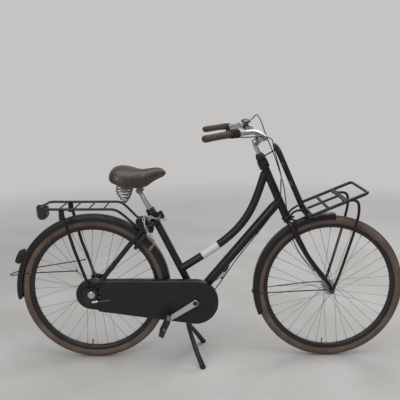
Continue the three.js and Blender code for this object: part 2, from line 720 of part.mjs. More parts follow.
function makeDrivetrain() {
  const half = plateThickness / 2;
  const bb = [bottomBracket.x, bottomBracket.z];
  const axle = [rearAxle.x, rearAxle.z];
  const ring = plate(toothedOutline(bb, ringTeeth), -chainLine - half, -chainLine + half);
  const ringBore = bar(spindleRadius + touchGap, -caseFace, 0, bottomBracket, left);
  add('chainring', cut(ring, ringBore), darkSteel);
  const sprocket = plate(toothedOutline(axle, sprocketTeeth), -chainLine - half, -chainLine + half);
  const sprocketBore = bar(driverRadius + touchGap * 2, -caseFace, 0, rearAxle, left);
  add('rear_sprocket', cut(sprocket, sprocketBore), darkSteel);

  const inside = toothDepth / 2 + chainClearance;
  const front = { x: bb[0], z: bb[1], radius: pitchRadius(ringTeeth) + inside };
  const rear = { x: axle[0], z: axle[1], radius: pitchRadius(sprocketTeeth) + inside };
  const beltSides = [-chainLine - chainHalfWidth, -chainLine + chainHalfWidth];
  const belt = plate(hull(front, rear, -chainHeight), ...beltSides);
  const room = plate(hull(front, rear), -caseFace, 0);
  add('chain', cut(belt, room), darkSteel);

  const reach = crankArm.inner + crankArm.thickness - half;
  add('crank_spindle', bar(spindleRadius, -reach, reach, bottomBracket, left), darkSteel);
}

function pedalCentre(side) {
  const angle = side < 0 ? crankAngle : crankAngle - 180;
  const [x, z] = polar([bottomBracket.x, bottomBracket.z], crankLength, angle);
  return new THREE.Vector3(x, 0, z);
}

function across(side, near, far) {
  return [Math.min(near * side, far * side), Math.max(near * side, far * side)];
}

function makeCrank(name, side) {
  const eye = pedalCentre(side);
  const { inner, thickness, rootRadius, tipRadius, bossInner, bossRadius } = crankArm;
  const root = { x: bottomBracket.x, z: bottomBracket.z, radius: rootRadius };
  const tip = { x: eye.x, z: eye.z, radius: tipRadius };
  const arm = plate(hull(root, tip, 0, armSteps), ...across(side, inner, inner + thickness));
  const boss = bar(bossRadius, ...across(side, bossInner, inner + touchGap), bottomBracket, left);
  const axleSpan = across(side, inner + thickness / 2, inner + pedalAxle.length);
  const axle = bar(pedalAxle.radius, ...axleSpan, eye, left);
  const spindle = bar(spindleRadius + touchGap, ...across(side, 0, inner + thickness), bottomBracket, left);
  add(name, cut(union(arm, boss, axle), spindle), steel);
}

function makePedal(name, side) {
  const eye = pedalCentre(side);
  const outer = pedal.inner + pedal.length;
  const middle = eye.clone().setY((side * (pedal.inner + outer)) / 2);
  const lean = pedal.angle;
  const flat = new THREE.Vector3(Math.cos(lean * turn), 0, Math.sin(lean * turn));
  const pads = [-1, 1].map((end) => {
    const seat = middle.clone().addScaledVector(flat, (end * (pedal.width - pedal.pad)) / 2);
    return box(seat, [pedal.pad, pedal.length - pedal.plate, pedal.thickness], lean);
  });
  const plates = [pedal.inner, outer - pedal.plate].map((near) => {
    const seat = eye.clone().setY(side * (near + pedal.plate / 2));
    return box(seat, [pedal.width - pedal.plate, pedal.plate, pedal.thickness - pedal.plate], lean);
  });
  const barrel = bar(pedal.barrel, ...across(side, pedal.inner, outer), eye, left);
  const boreDepth = crankArm.inner + pedalAxle.length + touchGap;
  const bore = bar(pedalAxle.radius + touchGap * 2, ...across(side, 0, boreDepth), eye, left);
  add(name, cut(union(barrel, ...pads, ...plates), bore), rubber);
}

// Wheels
function makeWheel(prefix, axle, hub, phase) {
  const r = tyreRadius - tyreWidth / 2;
  const spread = 180 - Math.asin(tyreBeadHalf / (tyreWidth / 2)) / turn;
  const section = [];
  for (let i = 0; i <= tyreSectionSteps; i += 1) {
    section.push(polar([r, 0], tyreWidth / 2, -spread + (2 * spread * i) / tyreSectionSteps));
  }
  add(`${prefix}_tyre`, turned(closed(section), axle, left, wheelSegments), brownTyre);

  const w = rimWidth / 2;
  const well = rimWellWidth / 2;
  const rim = [[rimOuterRadius, -w], [rimOuterRadius, w], [rimInnerRadius, well], [rimInnerRadius, -well]];
  add(`${prefix}_rim`, turned(closed(rim), axle, left, wheelSegments), black);
  add(`${prefix}_hub`, hubWithSpokes(axle, hub, phase), steel);
}

function hubWithSpokes(axle, hub, phase) {
  const rightFlange = -hub.right + hub.flangeInset;
  const leftFlange = hub.left - hub.flangeInset;
  const rightInner = rightFlange + hub.flangeWidth;
  const leftInner = leftFlange - hub.flangeWidth;
  const profile = [[axleBore, -hub.right], [hub.neck, -hub.right], [hub.neck, rightFlange],
    [hub.flange, rightFlange], [hub.flange, rightInner], [hub.shell, rightInner], [hub.shell, leftInner],
    [hub.flange, leftInner], [hub.flange, leftFlange], [hub.neck, leftFlange], [hub.neck, hub.left],
    [axleBore, hub.left]];
  let body = solid(turned(closed(profile), axle, left));
  if (hub === rearHub) {
    const driver = closed([[axleBore, -driverEnd], [driverRadius, -driverEnd], [driverRadius, rightFlange],
      [axleBore, rightFlange]]);
    body = body.add(solid(turned(driver, axle, left)));
  }
  const inset = hub.flangeWidth / 2;
  for (let i = 0; i < spokeCount; i += 1) {
    const side = i % 2 === 0 ? rightFlange + inset : leftFlange - inset;
    const wayAround = i % 4 < 2 ? 1 : -1;
    const rimAngle = (360 * i) / spokeCount + phase;
    const hubAngle = rimAngle + wayAround * spokeCrossAngle;
    const [hx, hz] = polar([axle.x, axle.z], hub.flange - hub.flangeWidth, hubAngle);
    const [rx, rz] = polar([axle.x, axle.z], rimInnerRadius - spokeEndGap, rimAngle);
    const head = new THREE.Vector3(hx, side + wayAround * spokeLift, hz);
    const spoke = tube([head, new THREE.Vector3(rx, 0, rz)], spokeRadius, spokeSides);
    body = body.add(solid(spoke));
  }
  return geometryOf(body);
}

function axleProfile(halfGap, grip, inner, outer) {
  return [[0, -outer], [nutRadius, -outer], [nutRadius, -grip], [axleRadius, -grip], [axleRadius, -halfGap],
    [coneRadius, -halfGap], [coneRadius, -inner], [axleRadius, -inner]];
}

function makeAxles() {
  const inner = rearDropoutInner - touchGap;
  const grip = rearDropoutInner + dropoutWidth + touchGap;
  const end = grip + nutWidth;
  const rightHalf = axleProfile(inner, grip, driverEnd + touchGap, end);
  const leftHalf = axleProfile(inner, grip, rearHub.left + touchGap, end).map(([r, h]) => [r, -h]).reverse();
  add('rear_axle', turned([...rightHalf, ...leftHalf], rearAxle, left, axleSegments), darkSteel);

  const frontInner = frontDropoutInner - touchGap;
  const frontGrip = legEye.inner + legEye.width + touchGap;
  const tip = frontDropoutInner + forkTipWidth + touchGap;
  const spacer = legEye.inner - touchGap;
  const half = [[0, frontGrip + nutWidth], [nutRadius, frontGrip + nutWidth], [nutRadius, frontGrip],
    [axleRadius, frontGrip], [axleRadius, spacer], [nutRadius, spacer], [nutRadius, tip], [axleRadius, tip],
    [axleRadius, frontInner], [coneRadius, frontInner]];
  const coneEnd = (reach) => [[coneRadius, reach + touchGap], [axleRadius, reach + touchGap]];
  const rightSide = [...half, ...coneEnd(frontHub.right)].map(([r, h]) => [r, -h]);
  const leftSide = [...half, ...coneEnd(frontHub.left)].reverse();
  const rod = turned([...rightSide, ...leftSide], frontAxle, left, axleSegments);
  const plateStart = frontHub.left + touchGap + runningGap;
  const disc = bar(brakePlate.radius, plateStart, plateStart + brakePlate.width, frontAxle, left);
  const arm = armPiece(plateStart + brakePlate.width);
  add('front_axle', union(rod, disc, arm), darkSteel);
}

// The reaction arm of the front brake, which lies along the left blade
function armPiece(yEnd) {
  const { armWidth, armLength, armThickness, armAngle } = brakePlate;
  const [x, z] = polar([frontAxle.x, frontAxle.z], armLength / 2, armAngle);
  const size = [armLength, armThickness, armWidth];
  return box(new THREE.Vector3(x, yEnd - armThickness / 2, z), size, armAngle);
}

// Mudguards
function guardSection(half, skirt) {
  const outer = guardShares.map(([wide, deep]) => [-wide * half, deep * skirt]);
  const outerBack = outer.slice(0, -1).reverse().map(([y, d]) => [-y, d]);
  const inner = guardShares.map(([wide, deep]) => {
    const drawnIn = guardWall * (wide > guardSideShare ? 1 : wide);
    return [drawnIn - wide * half, deep * skirt + (deep < 1 ? guardWall : 0)];
  });
  const innerBack = inner.slice(0, -1).reverse().map(([y, d]) => [-y, d]);
  const corners = [...outer, ...outerBack, ...[...inner, ...innerBack].reverse()];
  return new THREE.Shape(corners.map(([y, d]) => new THREE.Vector2(y, d)));
}

function guardRadius(guard) {
  return tyreRadius + guard.clearance;
}

// The stations of a mudguard and how its section is stretched at each
function guardLine(axle, guard) {
  const tipStart = guard.end - guardTipAngle;
  const steps = Math.round((tipStart - guard.start) / guardStep);
  const stations = [];
  for (let i = 0; i <= steps; i += 1) {
    stations.push([guard.start + ((tipStart - guard.start) * i) / steps, 1]);
  }
  guardTipShares.forEach((size, i) => {
    stations.push([tipStart + (guardTipAngle * (i + 1)) / guardTipShares.length, size]);
  });
  const shareOf = (angle) => (angle - guard.start) / (guard.end - guard.start);
  const points = stations.map(([angle]) => {
    const radius = guardRadius(guard) + guard.spread * Math.max(2 * shareOf(angle) - 1, 0);
    const [x, z] = polar([axle.x, axle.z], radius, angle);
    return new THREE.Vector3(x, 0, z);
  });
  const stretches = stations.map(([angle, size]) => {
    const deep = 1 - (1 - guard.tipSkirtShare) * shareOf(angle);
    return [size, deep * size];
  });
  return { points, stretches };
}

function makeGuard(name, axle, guard) {
  const { points, stretches } = guardLine(axle, guard);
  add(name, sweep(guardSection(guard.half, guard.skirt), points, left, stretches), black);
}

// A filled block in the shape of a mudguard's outside, a little larger all round
function guardBlock(axle, guard) {
  const { points, stretches } = guardLine(axle, guard);
  const { half, skirt } = guard;
  const outer = guardShares.map(([wide, deep]) => [wide * half + touchGap, deep * skirt - touchGap]);
  const corners = [...outer, ...outer.slice(0, -1).reverse().map(([y, d]) => [-y, d])];
  return sweep(new THREE.Shape(corners.map(([y, d]) => new THREE.Vector2(-y, d))), points, left, stretches);
}

function makeStayLoop(name, half, apex) {
  const corners = [...half, apex, ...mirror(half).reverse()];
  add(name, tube(bent(corners, 3 * stayWire), stayWire, wireSides), black);
}

// Rear rack
function makeRack() {
  const right = route(rackRoute);
  const rearCorner = new THREE.Vector3(rackRear[0], rackRoute[4][1], rackRear[2]);
  const half = [...right, rearCorner];
  const rails = tube(bent([...half, ...mirror(half).reverse()], rackCorner), rackTube, legSides);
  const rods = rackRodXs.map((x) => {
    const [, reach, z] = rackRoute[3];
    return bar(rackRodRadius, -reach, reach, new THREE.Vector3(x, 0, z), left, rodSides);
  });
  const legs = [-1, 1].map((side) => {
    const line = bent(route(rackLegRoute, side), rackLegBend);
    return tube(line, rackLegRadius, legSides);
  });
  const plates = [-1, 1].map((side) => {
    const seat = new THREE.Vector3(rackPlate.x, side * rackRoute[3][1], rackPlate.z);
    return box(seat, [rackPlate.width, rackPlate.thickness, rackPlate.height]);
  });
  add('rear_rack', union(rails, ...rods, ...legs, ...plates), black);
}

function makeLamps() {
  const lamp = plate(lampOutline, -lampHalfWidth, lampHalfWidth);
  const over = lampHalfWidth + cutOverrun;
  const railRoom = bar(rackTube + touchGap, -over, over, vector(rackRear), left);
  add('rear_lamp', cut(lamp, railRoom), redPlastic);

  const axle = [rearAxle.x, rearAxle.z];
  const [start, end] = reflectorAngles;
  const outside = guardRadius(rearGuard) + rearGuard.spread;
  const shoulder = reflectorShoulderShares;
  const outline = [];
  for (let i = 0; i <= reflectorSteps; i += 1) {
    const angle = end + ((start - end) * i) / reflectorSteps;
    outline.push(polar(axle, guardRadius(rearGuard) - rearGuard.spread, angle));
  }
  outline.push(polar(axle, outside + reflectorReach * shoulder.reach, start));
  outline.push(polar(axle, outside + reflectorReach, start + (end - start) * shoulder.turn));
  outline.push(polar(axle, outside + reflectorReach, end));
  const blank = plate(outline, -reflectorHalfWidth, reflectorHalfWidth);
  add('rear_reflector', cut(blank, guardBlock(rearAxle, rearGuard)), redPlastic);
}

// Ring lock: places in its own plane, counted down the plane and across it
const lockDown = new THREE.Vector3(-Math.cos(lock.lean * turn), 0, -Math.sin(lock.lean * turn));
const lockOut = new THREE.Vector3(lockDown.z, 0, -lockDown.x).negate();
const lockCentre = new THREE.Vector3(lock.x, 0, lock.z);

// An angle of 0 points down the plane to the wheel's middle, and it grows toward the right
function lockPoint(radius, angle) {
  const down = radius * Math.cos(angle * turn);
  const side = -radius * Math.sin(angle * turn);
  return lockCentre.clone().addScaledVector(lockDown, down).add(new THREE.Vector3(0, side, 0));
}

function lockArc(radius, start, end, steps) {
  const points = [];
  for (let i = 0; i <= steps; i += 1) points.push(lockPoint(radius, start + ((end - start) * i) / steps));
  return points;
}

function makeRingLock() {
  const open = lock.gapAngle;
  const middle = (lock.inner + lock.outer) / 2;
  const ringShape = rectangle(lock.depth, lock.outer - lock.inner);
  const housing = sweep(ringShape, lockArc(middle, open, 360 - open, lockSteps), lockOut);
  const body = plate(lockBodyOutline, -lockBody.half, lockBody.half, lockBody.bevel);
  const channelRadius = shackle.radius + shackle.clearance;
  const channel = new THREE.TorusGeometry(lock.ring, channelRadius, channelSides, channelSteps);
  channel.applyQuaternion(new THREE.Quaternion().setFromUnitVectors(new THREE.Vector3(0, 0, 1), lockOut));
  channel.translate(lock.x, 0, lock.z);
  const knobStart = lockKnob.angle - lockKnob.slotEnd;
  const knobEnd = lockKnob.angle + shackle.swing + lockKnob.slotEnd;
  const slotRadius = lock.ring + lockKnob.reach / 2;
  const slotShape = rectangle((lockKnob.radius + lockKnob.clearance) * 2, lockKnob.reach);
  const slot = sweep(slotShape, lockArc(slotRadius, knobStart, knobEnd, lockSlotSteps), lockOut);
  const pads = [-1, 1].map((side) => box(vector(lockPad.centre, side), lockPad.size, seatAngle));
  const stayRooms = [-1, 1].map((side) => seatStay(side, seatStayRadius + touchGap));
  add('ring_lock_body', cut(union(housing, body, ...pads), channel, slot, ...stayRooms), plastic);

  const boltLine = lockArc(lock.ring, shackle.end, shackle.start, lockBoltSteps);
  const bolt = tube(boltLine, shackle.radius, rodSides);
  const knobBase = lockPoint(lock.ring, lockKnob.angle);
  const knobEndPoint = lockPoint(lock.ring + lockKnob.reach, lockKnob.angle);
  add('ring_lock_shackle', union(bolt, tube([knobBase, knobEndPoint], lockKnob.radius, rodSides)), steel);
}

function chainOfLinks(points) {
  const curve = new THREE.CatmullRomCurve3(points, false, 'centripetal');
  const pitch = linkLength * linkPitchShare;
  const count = Math.round(curve.getLength() / pitch);
  const links = [];
  for (let i = 0; i <= count; i += 1) {
    const torus = new THREE.TorusGeometry(linkWidth, linkWire, linkSides, linkSteps);
    torus.scale(linkLength / 2 / (linkWidth + linkWire), 1, 1);
    const tangent = curve.getTangentAt(i / count);
    const spin = new THREE.Quaternion().setFromUnitVectors(forward, tangent);
    torus.rotateX((i % 2) * 90 * turn).applyQuaternion(spin);
    const place = curve.getPointAt(i / count);
    links.push(torus.translate(place.x, place.y, place.z));
  }
  return links;
}

function makeLockChain() {
  add('lock_chain', union(...chainOfLinks(route(lockChainRoute))), steel);
}

// Kickstand
function makeKickstand() {
  const pivot = new THREE.Vector3(standPivot.x, 0, standPivot.z);
  const halfPin = standRoute[0][1];
  const pin = bar(standPin, -halfPin, halfPin, pivot, left);
  const up = new THREE.Vector3(0, 0, 1);
  const { topRadius, footRadius } = standLeg;
  const legs = [-1, 1].flatMap((side) => {
    const line = smooth(route(standRoute, side), standSteps);
    const foot = line[line.length - 1];
    foot.z = standFoot.height;
    const radii = line.map((_, i) => topRadius + ((footRadius - topRadius) * i) / standSteps);
    const pad = bar(standFoot.radius, 0, standFoot.height, foot.clone().setZ(0), up, tubeSides);
    return [tube(line, radii, legSides), pad];
  });
  add('kickstand_legs', union(pin, ...legs), black);

  const { half, thickness, width } = standCheek;
  const top = standPlate.z;
  const cheeks = [-1, 1].map((side) => {
    const root = { x: standPlate.x, z: top, radius: width / 2 };
    const eye = { x: standPivot.x, z: standPivot.z, radius: width / 2 };
    return plate(hull(root, eye, 0, armSteps), ...across(side, half - thickness, half));
  });
  const { x, length, z, thickness: deep } = standPlate;
  const slab = box(new THREE.Vector3(x, 0, z), [length, standPlate.half * 2, deep]);
  const room = bar(standPin + touchGap * 2, -half - cutOverrun, half + cutOverrun, pivot, left);
  const stays = [-1, 1].map((side) => chainStay(side, chainStayRadius + touchGap));
  const shell = bar(shellRadius + touchGap, -shellHalfWidth, shellHalfWidth, bottomBracket, left);
  add('kickstand_bracket', cut(union(slab, ...cheeks), room, shell, ...stays), black);
}

function makeClickBox() {
  const { x, z, width, height, depth, bevel } = clickBox;
  const start = rearDropoutInner + dropoutWidth + touchGap;
  const corner = width / 4;
  const outline = [[-1, -1], [1, -1], [1, 1], [-1, 1]].flatMap(([sx, sz]) => {
    const cx = x + (sx * width) / 2;
    const cz = z + (sz * height) / 2;
    const a = [cx - sx * corner, cz];
    const b = [cx, cz - sz * corner];
    return sx * sz > 0 ? [b, a] : [a, b];
  });
  const blank = plate(outline, -start - depth - nutWidth, -start, bevel);
  const nutRoom = bar(nutRadius + runningGap, -start - nutWidth - touchGap, 0, rearAxle, left);
  const stayRooms = [chainStay(-1, chainStayRadius + touchGap), seatStay(-1, seatStayRadius + touchGap)];
  add('gear_click_box', cut(blank, nutRoom, ...stayRooms), plastic);
}

// Saddle and seat post
function makeSeatPost() {
  const neck = seatPostEnd - seatPostTaper;
  const profile = [[0, seatPostStart], [seatPostRadius, seatPostStart], [seatPostRadius, neck],
    [postNeckRadius, neck + seatPostTaper / 3], [postNeckRadius, seatPostEnd], [0, seatPostEnd]];
  add('seat_post', turned(profile, bottomBracket, seatUp), steel);
}

function saddleSection(station) {
  const [x, half, top, low, wall] = station;
  const height = top - low;
  const outer = saddleCrownShares.map(([wide, high]) => [wide * half, low + high * height]);
  const roof = Math.max(saddleBase, low + saddleRecess);
  const inner = saddleRecessShares.map(([wide, high]) => [wide * (half - wall), low + high * (roof - low)]);
  const fullOuter = [...outer, ...outer.slice(0, -1).reverse().map(([y, z]) => [-y, z])];
  const fullInner = [...inner, ...inner.slice(0, -1).reverse().map(([y, z]) => [-y, z])].reverse();
  return [...fullOuter, ...fullInner].map(([y, z]) => new THREE.Vector3(x, y, z));
}

// A closed skin over sections with the same number of points
function loft(sections) {
  const count = sections[0].length;
  const positions = sections.flat().flatMap((point) => [point.x, point.y, point.z]);
  const index = [];
  for (let s = 0; s < sections.length - 1; s += 1) {
    for (let i = 0; i < count; i += 1) {
      const a = s * count + i;
      const b = s * count + ((i + 1) % count);
      index.push(a, b, a + count, b, b + count, a + count);
    }
  }
  const flatOf = (section) => section.map((point) => new THREE.Vector2(point.y, point.z));
  const capOf = (section) => THREE.ShapeUtils.triangulateShape(flatOf(section), []);
  const last = (sections.length - 1) * count;
  capOf(sections[0]).forEach(([a, b, c]) => index.push(a, c, b));
  capOf(sections[sections.length - 1]).forEach(([a, b, c]) => index.push(last + a, last + b, last + c));
  const geometry = new THREE.BufferGeometry();
  geometry.setAttribute('position', new THREE.Float32BufferAttribute(positions, 3));
  geometry.setIndex(index);
  geometry.computeVertexNormals();
  return geometry;
}

function springPoints(side) {
  const { x, y, bottom, wire, turns } = saddleSpring;
  const top = saddleBase - touchGap - 2 * wire;
  const steps = turns * curlSteps;
  const points = [];
  for (let i = 0; i <= steps; i += 1) {
    const share = i / steps;
    const low = Math.min(share / springBellyShare, 1);
    const high = Math.max((share - springBellyShare) / (1 - springBellyShare), 0);
    const belly = springRadii.bottom + (springRadii.belly - springRadii.bottom) * low;
    const radius = belly + (springRadii.top - springRadii.belly) * high;
    const [px, py] = polar([x, 0], radius, (360 * i) / curlSteps);
    points.push(new THREE.Vector3(px, side * (y + py), bottom + (top - bottom) * share));
  }
  const down = points[0].clone().setZ(bottom - 2 * wire);
  const up = points[steps].clone().setZ(top + 2 * wire);
  return [down, ...points, up];
}

// The least distance between a spring's surface and itself, taken between points more than half a turn apart
function springGap(points) {
  let least = Infinity;
  points.forEach((a, i) => {
    points.slice(i + curlSteps / 2).forEach((b) => {
      least = Math.min(least, a.distanceTo(b) - 2 * saddleSpring.wire);
    });
  });
  return least;
}

function makeSaddle() {
  add('saddle_cover', loft(saddleStations.map(saddleSection)), leather);
  const up = new THREE.Vector3(0, 0, 1);
  const [noseX, noseY, noseZ] = railRoute[0];
  const nose = bar(railRadius, -noseY, noseY, new THREE.Vector3(noseX, 0, noseZ), left, rodSides);
  const cupTop = saddleSpring.bottom - 2 * saddleSpring.wire - touchGap;
  const rails = [-1, 1].flatMap((side) => {
    const cupSeat = new THREE.Vector3(saddleSpring.x, side * saddleSpring.y, cupTop);
    const cup = bar(springCup.radius, -springCup.thickness, 0, cupSeat, up, tubeSides);
    return [tube(smooth(route(railRoute, side), railSteps), railRadius, rodSides), cup];
  });
  const clampSeat = onSeat(seatPostEnd - seatPostTaper / 3);
  const clamp = bar(saddleClamp.radius, -saddleClamp.halfWidth, saddleClamp.halfWidth, clampSeat, left);
  const postRoom = bar(postNeckRadius + touchGap, 0, seatPostEnd + touchGap, bottomBracket, seatUp);
  const shoulderEnd = seatPostEnd - (seatPostTaper * 2) / 3;
  const shoulder = bar(seatPostRadius + touchGap, 0, shoulderEnd, bottomBracket, seatUp);
  add('saddle_frame', cut(union(...rails, nose, clamp), postRoom, shoulder), darkSteel);
  [['saddle_spring_right', -1], ['saddle_spring_left', 1]].forEach(([name, side]) => {
    const points = springPoints(side);
    console.log(`${name} least gap to itself ${springGap(points).toFixed(2)} mm`);
    add(name, sweep(circle(saddleSpring.wire, curlSides), points, forward), darkSteel);
  });
}

// Fork, stem and bar
function makeFork() {
  const { radius: raceRadius, start: bodyStart } = crownRace;
  const raceTop = lowerCup.start - touchGap;
  const profile = [[0, steererStart], [raceRadius, steererStart], [raceRadius, raceTop],
    [steererRadius, raceTop], [steererRadius, steererEnd], [steererBore, steererEnd],
    [steererBore, bodyStart + cutOverrun], [0, bodyStart + cutOverrun]];
  const steerer = turned(profile, headFoot, headUp);
  const blade = frontRoute(bladeRoute);
  const bothBlades = [...mirror(blade).reverse(), ...blade.slice(1)];
  const blades = tube(bothBlades, [...bladeRadii.slice(1).reverse(), ...bladeRadii]);
  const pieces = [steerer, blades];
  [-1, 1].forEach((side) => {
    const end = blade[blade.length - 1];
    const lug = { x: frontAxle.x, z: frontAxle.z, radius: forkTip.radius };
    const seat = { x: end.x, z: end.z, radius: forkTip.radius * forkTip.neckShare };
    const faces = across(side, frontDropoutInner, frontDropoutInner + forkTipWidth);
    pieces.push(plate(hull(lug, seat, 0, tubeSides), ...faces));
  });
  const crown = onHead(steererStart + crownRace.radius / 2);
  const outward = crown.clone().sub(frontAxle).normalize();
  const boltStart = guardRadius(frontGuard) - guardBolt;
  pieces.push(bar(guardBolt, boltStart, crown.distanceTo(frontAxle), frontAxle, outward, rodSides));
  const axleRoom = bar(axleBore, -rearDropoutInner, rearDropoutInner, frontAxle, left, axleSegments);
  add('fork', mainBody(cut(union(...pieces), axleRoom, guardBlock(frontAxle, frontGuard))), black);
}

const [barMiddle] = frontRoute([barCentre]);

function barPoints() {
  const half = frontRoute(barRoute);
  const corners = [...mirror(half).reverse(), barMiddle, ...half];
  return smooth(corners, barSteps);
}

function makeStem() {
  const top = onHead(stemTop);
  const quill = bar(quillRadius, quillStart, stemTop, headFoot, headUp);
  const neck = tube([onHead(stemTop - quillRadius), barMiddle], quillRadius, tubeSides);
  const knuckle = new THREE.SphereGeometry(quillRadius * knuckleShare, tubeSides, legSides);
  knuckle.translate(top.x, top.y, top.z);
  const clamp = bar(barClampRadius, -barClampHalf, barClampHalf, barMiddle, left);
  const room = tube(barPoints(), barBulgeRadius + touchGap * 2, tubeSides);
  add('stem', cut(union(quill, neck, knuckle, clamp), room), steel);
}

function makeBar() {
  const points = barPoints();
  const radii = points.map((point) => (Math.abs(point.y) < barBulgeHalf ? barBulgeRadius : barRadius));
  add('handlebar', tube(points, radii, tubeSides), steel);
}

// The bar's own stations between two distances from its end, on one side
function barStretch(side, start, end) {
  const points = side > 0 ? barPoints().reverse() : barPoints();
  const stretch = [];
  let walked = 0;
  points.slice(1).forEach((point, i) => {
    const step = point.distanceTo(points[i]);
    if (walked > start && walked < end) stretch.push(points[i]);
    [start, end].forEach((mark) => {
      const share = (mark - walked) / step;
      if (share >= 0 && share < 1) stretch.push(points[i].clone().lerp(point, share));
    });
    walked += step;
  });
  return stretch;
}

function barSleeve(side, start, end, radius) {
  const sleeve = tube(barStretch(side, start, end), radius);
  const room = tube(barStretch(side, 0, end + cutOverrun), barRadius + sleeveClearance, tubeSides);
  return [sleeve, room];
}

function makeGrips() {
  const flange = gripFlange - gripRadius;
  [['grip_right', -1], ['grip_left', 1]].forEach(([name, side]) => {
    const [sleeve, room] = barSleeve(side, flange, gripLength, gripRadius);
    const [rim] = barSleeve(side, gripLength - flange * 2, gripLength, gripFlange);
    add(name, cut(union(sleeve, rim), room), gripBrown);
  });
}

function shifterEnds() {
  const start = gripLength + shifter.gap;
  const stations = barStretch(-1, start, start + shifter.length);
  return [stations[0], stations[stations.length - 1]];
}

function makeShifter() {
  const [near, far] = shifterEnds();
  const along = far.clone().sub(near).normalize();
  const length = near.distanceTo(far);
  const lip = 2 * (gripFlange - gripRadius);
  const sleeve = bar(shifter.radius, 0, length, near, along);
  const rear = bar(gripRadius, length - touchGap, length + lip, near, along);
  const room = bar(barRadius + shifter.clearance, -cutOverrun, length + cutOverrun, near, along);
  add('twist_shifter', cut(union(sleeve, rear), room), rubber);
}

// The brake lever's frame: its pivot below the bar, the ways to the bar's end and down, and the pin's axis
function leverFrame() {
  const stations = barStretch(1, gripLength + sleeveGap, gripLength + sleeveGap + leverMount.width);
  const near = stations[0];
  const far = stations[stations.length - 1];
  const back = near.clone().sub(far).normalize();
  const down = new THREE.Vector3(0, 0, -1).addScaledVector(back, back.z).normalize();
  const pinAxis = new THREE.Vector3().crossVectors(back, down).normalize();
  const seat = near.clone().lerp(far, 1 / 2);
  return { seat, back, down, pinAxis, pivot: seat.clone().addScaledVector(down, leverMount.drop) };
}

function makeBrakeLever() {
  const { seat, back, down, pinAxis, pivot } = leverFrame();
  const { radius, width, drop, thickness, cheek, pin, foot } = leverMount;
  const start = gripLength + sleeveGap;
  const [ring, room] = barSleeve(1, start, start + width, radius);
  const slotWidth = 2 * (leverRadius + runningGap);
  const end = pivot.clone().addScaledVector(down, foot);
  const block = sweep(rectangle(slotWidth + 2 * cheek, thickness), [seat, end], pinAxis);
  const slotTop = pivot.clone().addScaledVector(down, -foot - runningGap);
  const slotEnd = end.clone().addScaledVector(down, cutOverrun);
  const slot = sweep(rectangle(slotWidth, thickness + cutOverrun), [slotTop, slotEnd], pinAxis);
  const pinBar = bar(pin, -slotWidth / 2 - cheek, slotWidth / 2 + cheek, pivot, pinAxis, tubeSides);
  add('brake_lever_mount', cut(union(ring, cut(block, slot), pinBar), room), black);

  const points = smooth(leverRoute.map(([reach, low, inward]) => pivot.clone().addScaledVector(back, reach)
    .addScaledVector(down, low).addScaledVector(pinAxis, inward)), leverSteps);
  const stretches = points.map((_, i) => {
    const size = 1 - ((1 - leverTipShare) * i) / leverSteps;
    return [size, size];
  });
  const rod = sweep(circle(leverRadius, legSides), points, pinAxis, stretches);
  const eye = bar(leverRadius + pin / 2, -leverRadius, leverRadius, pivot, pinAxis, tubeSides);
  const pinRoom = bar(pin + touchGap * 2, -drop, drop, pivot, pinAxis, tubeSides);
  add('brake_lever', cut(union(rod, eye), pinRoom), steel);
}

function bellSeat() {
  const points = barPoints().filter((point) => point.y > 0);
  const nearest = (a, b) => (Math.abs(a.y - bellDome.y) < Math.abs(b.y - bellDome.y) ? a : b);
  return points.reduce(nearest);
}

function makeBell() {
  const points = barPoints();
  const seat = bellSeat();
  const at = points.findIndex((point) => point.distanceTo(seat) < touchGap);
  const up = new THREE.Vector3(0, 0, 1);
  const start = barRadius + touchGap * 2;
  const neck = start + bellBase.height;
  const dome = bellDomeShares.map(([wide, high]) => [bellDome.radius * wide, neck + bellDome.height * high]);
  const profile = [[0, start], [bellBase.radius, start], [bellBase.radius, neck],
    [bellDome.radius, neck + bellDome.lip], ...dome];
  const body = turned(profile, seat, up, bellSides);
  const along = points[at + 1].clone().sub(seat).normalize();
  const ends = [-1, 1].map((end) => seat.clone().addScaledVector(along, end * bellBase.height));
  const collar = tube(ends, barRadius + bellLever.thickness, tubeSides);
  const room = tube(points, barRadius + touchGap * 2, tubeSides);
  add('bell', cut(union(body, collar), room), steel);

  const low = start + bellLever.rise;
  const high = low + bellLever.thickness;
  const ring = bar(bellBase.radius + bellLever.rim, low, high, seat, up, tubeSides);
  const bore = bar(bellBase.radius + runningGap, low - cutOverrun, high + cutOverrun, seat, up, bellSides);
  const thumb = bellLever.length - bellLever.width / 2;
  const aim = new THREE.Vector3(-Math.cos(bellLever.angle * turn), -Math.sin(bellLever.angle * turn), 0);
  const middle = seat.clone().setZ(seat.z + (low + high) / 2);
  const armEnds = [middle.clone().addScaledVector(aim, bellBase.radius + bellLever.rim / 2),
    middle.clone().addScaledVector(aim, thumb)];
  const armSide = new THREE.Vector3(-aim.y, aim.x, 0);
  const arm = sweep(rectangle(bellLever.width, bellLever.thickness), armEnds, armSide);
  const padSeat = seat.clone().addScaledVector(aim, thumb);
  const pad = bar(bellLever.width, low, high + bellLever.thickness, padSeat, up, tubeSides);
  add('bell_lever', cut(union(ring, arm, pad), bore), darkSteel);
}

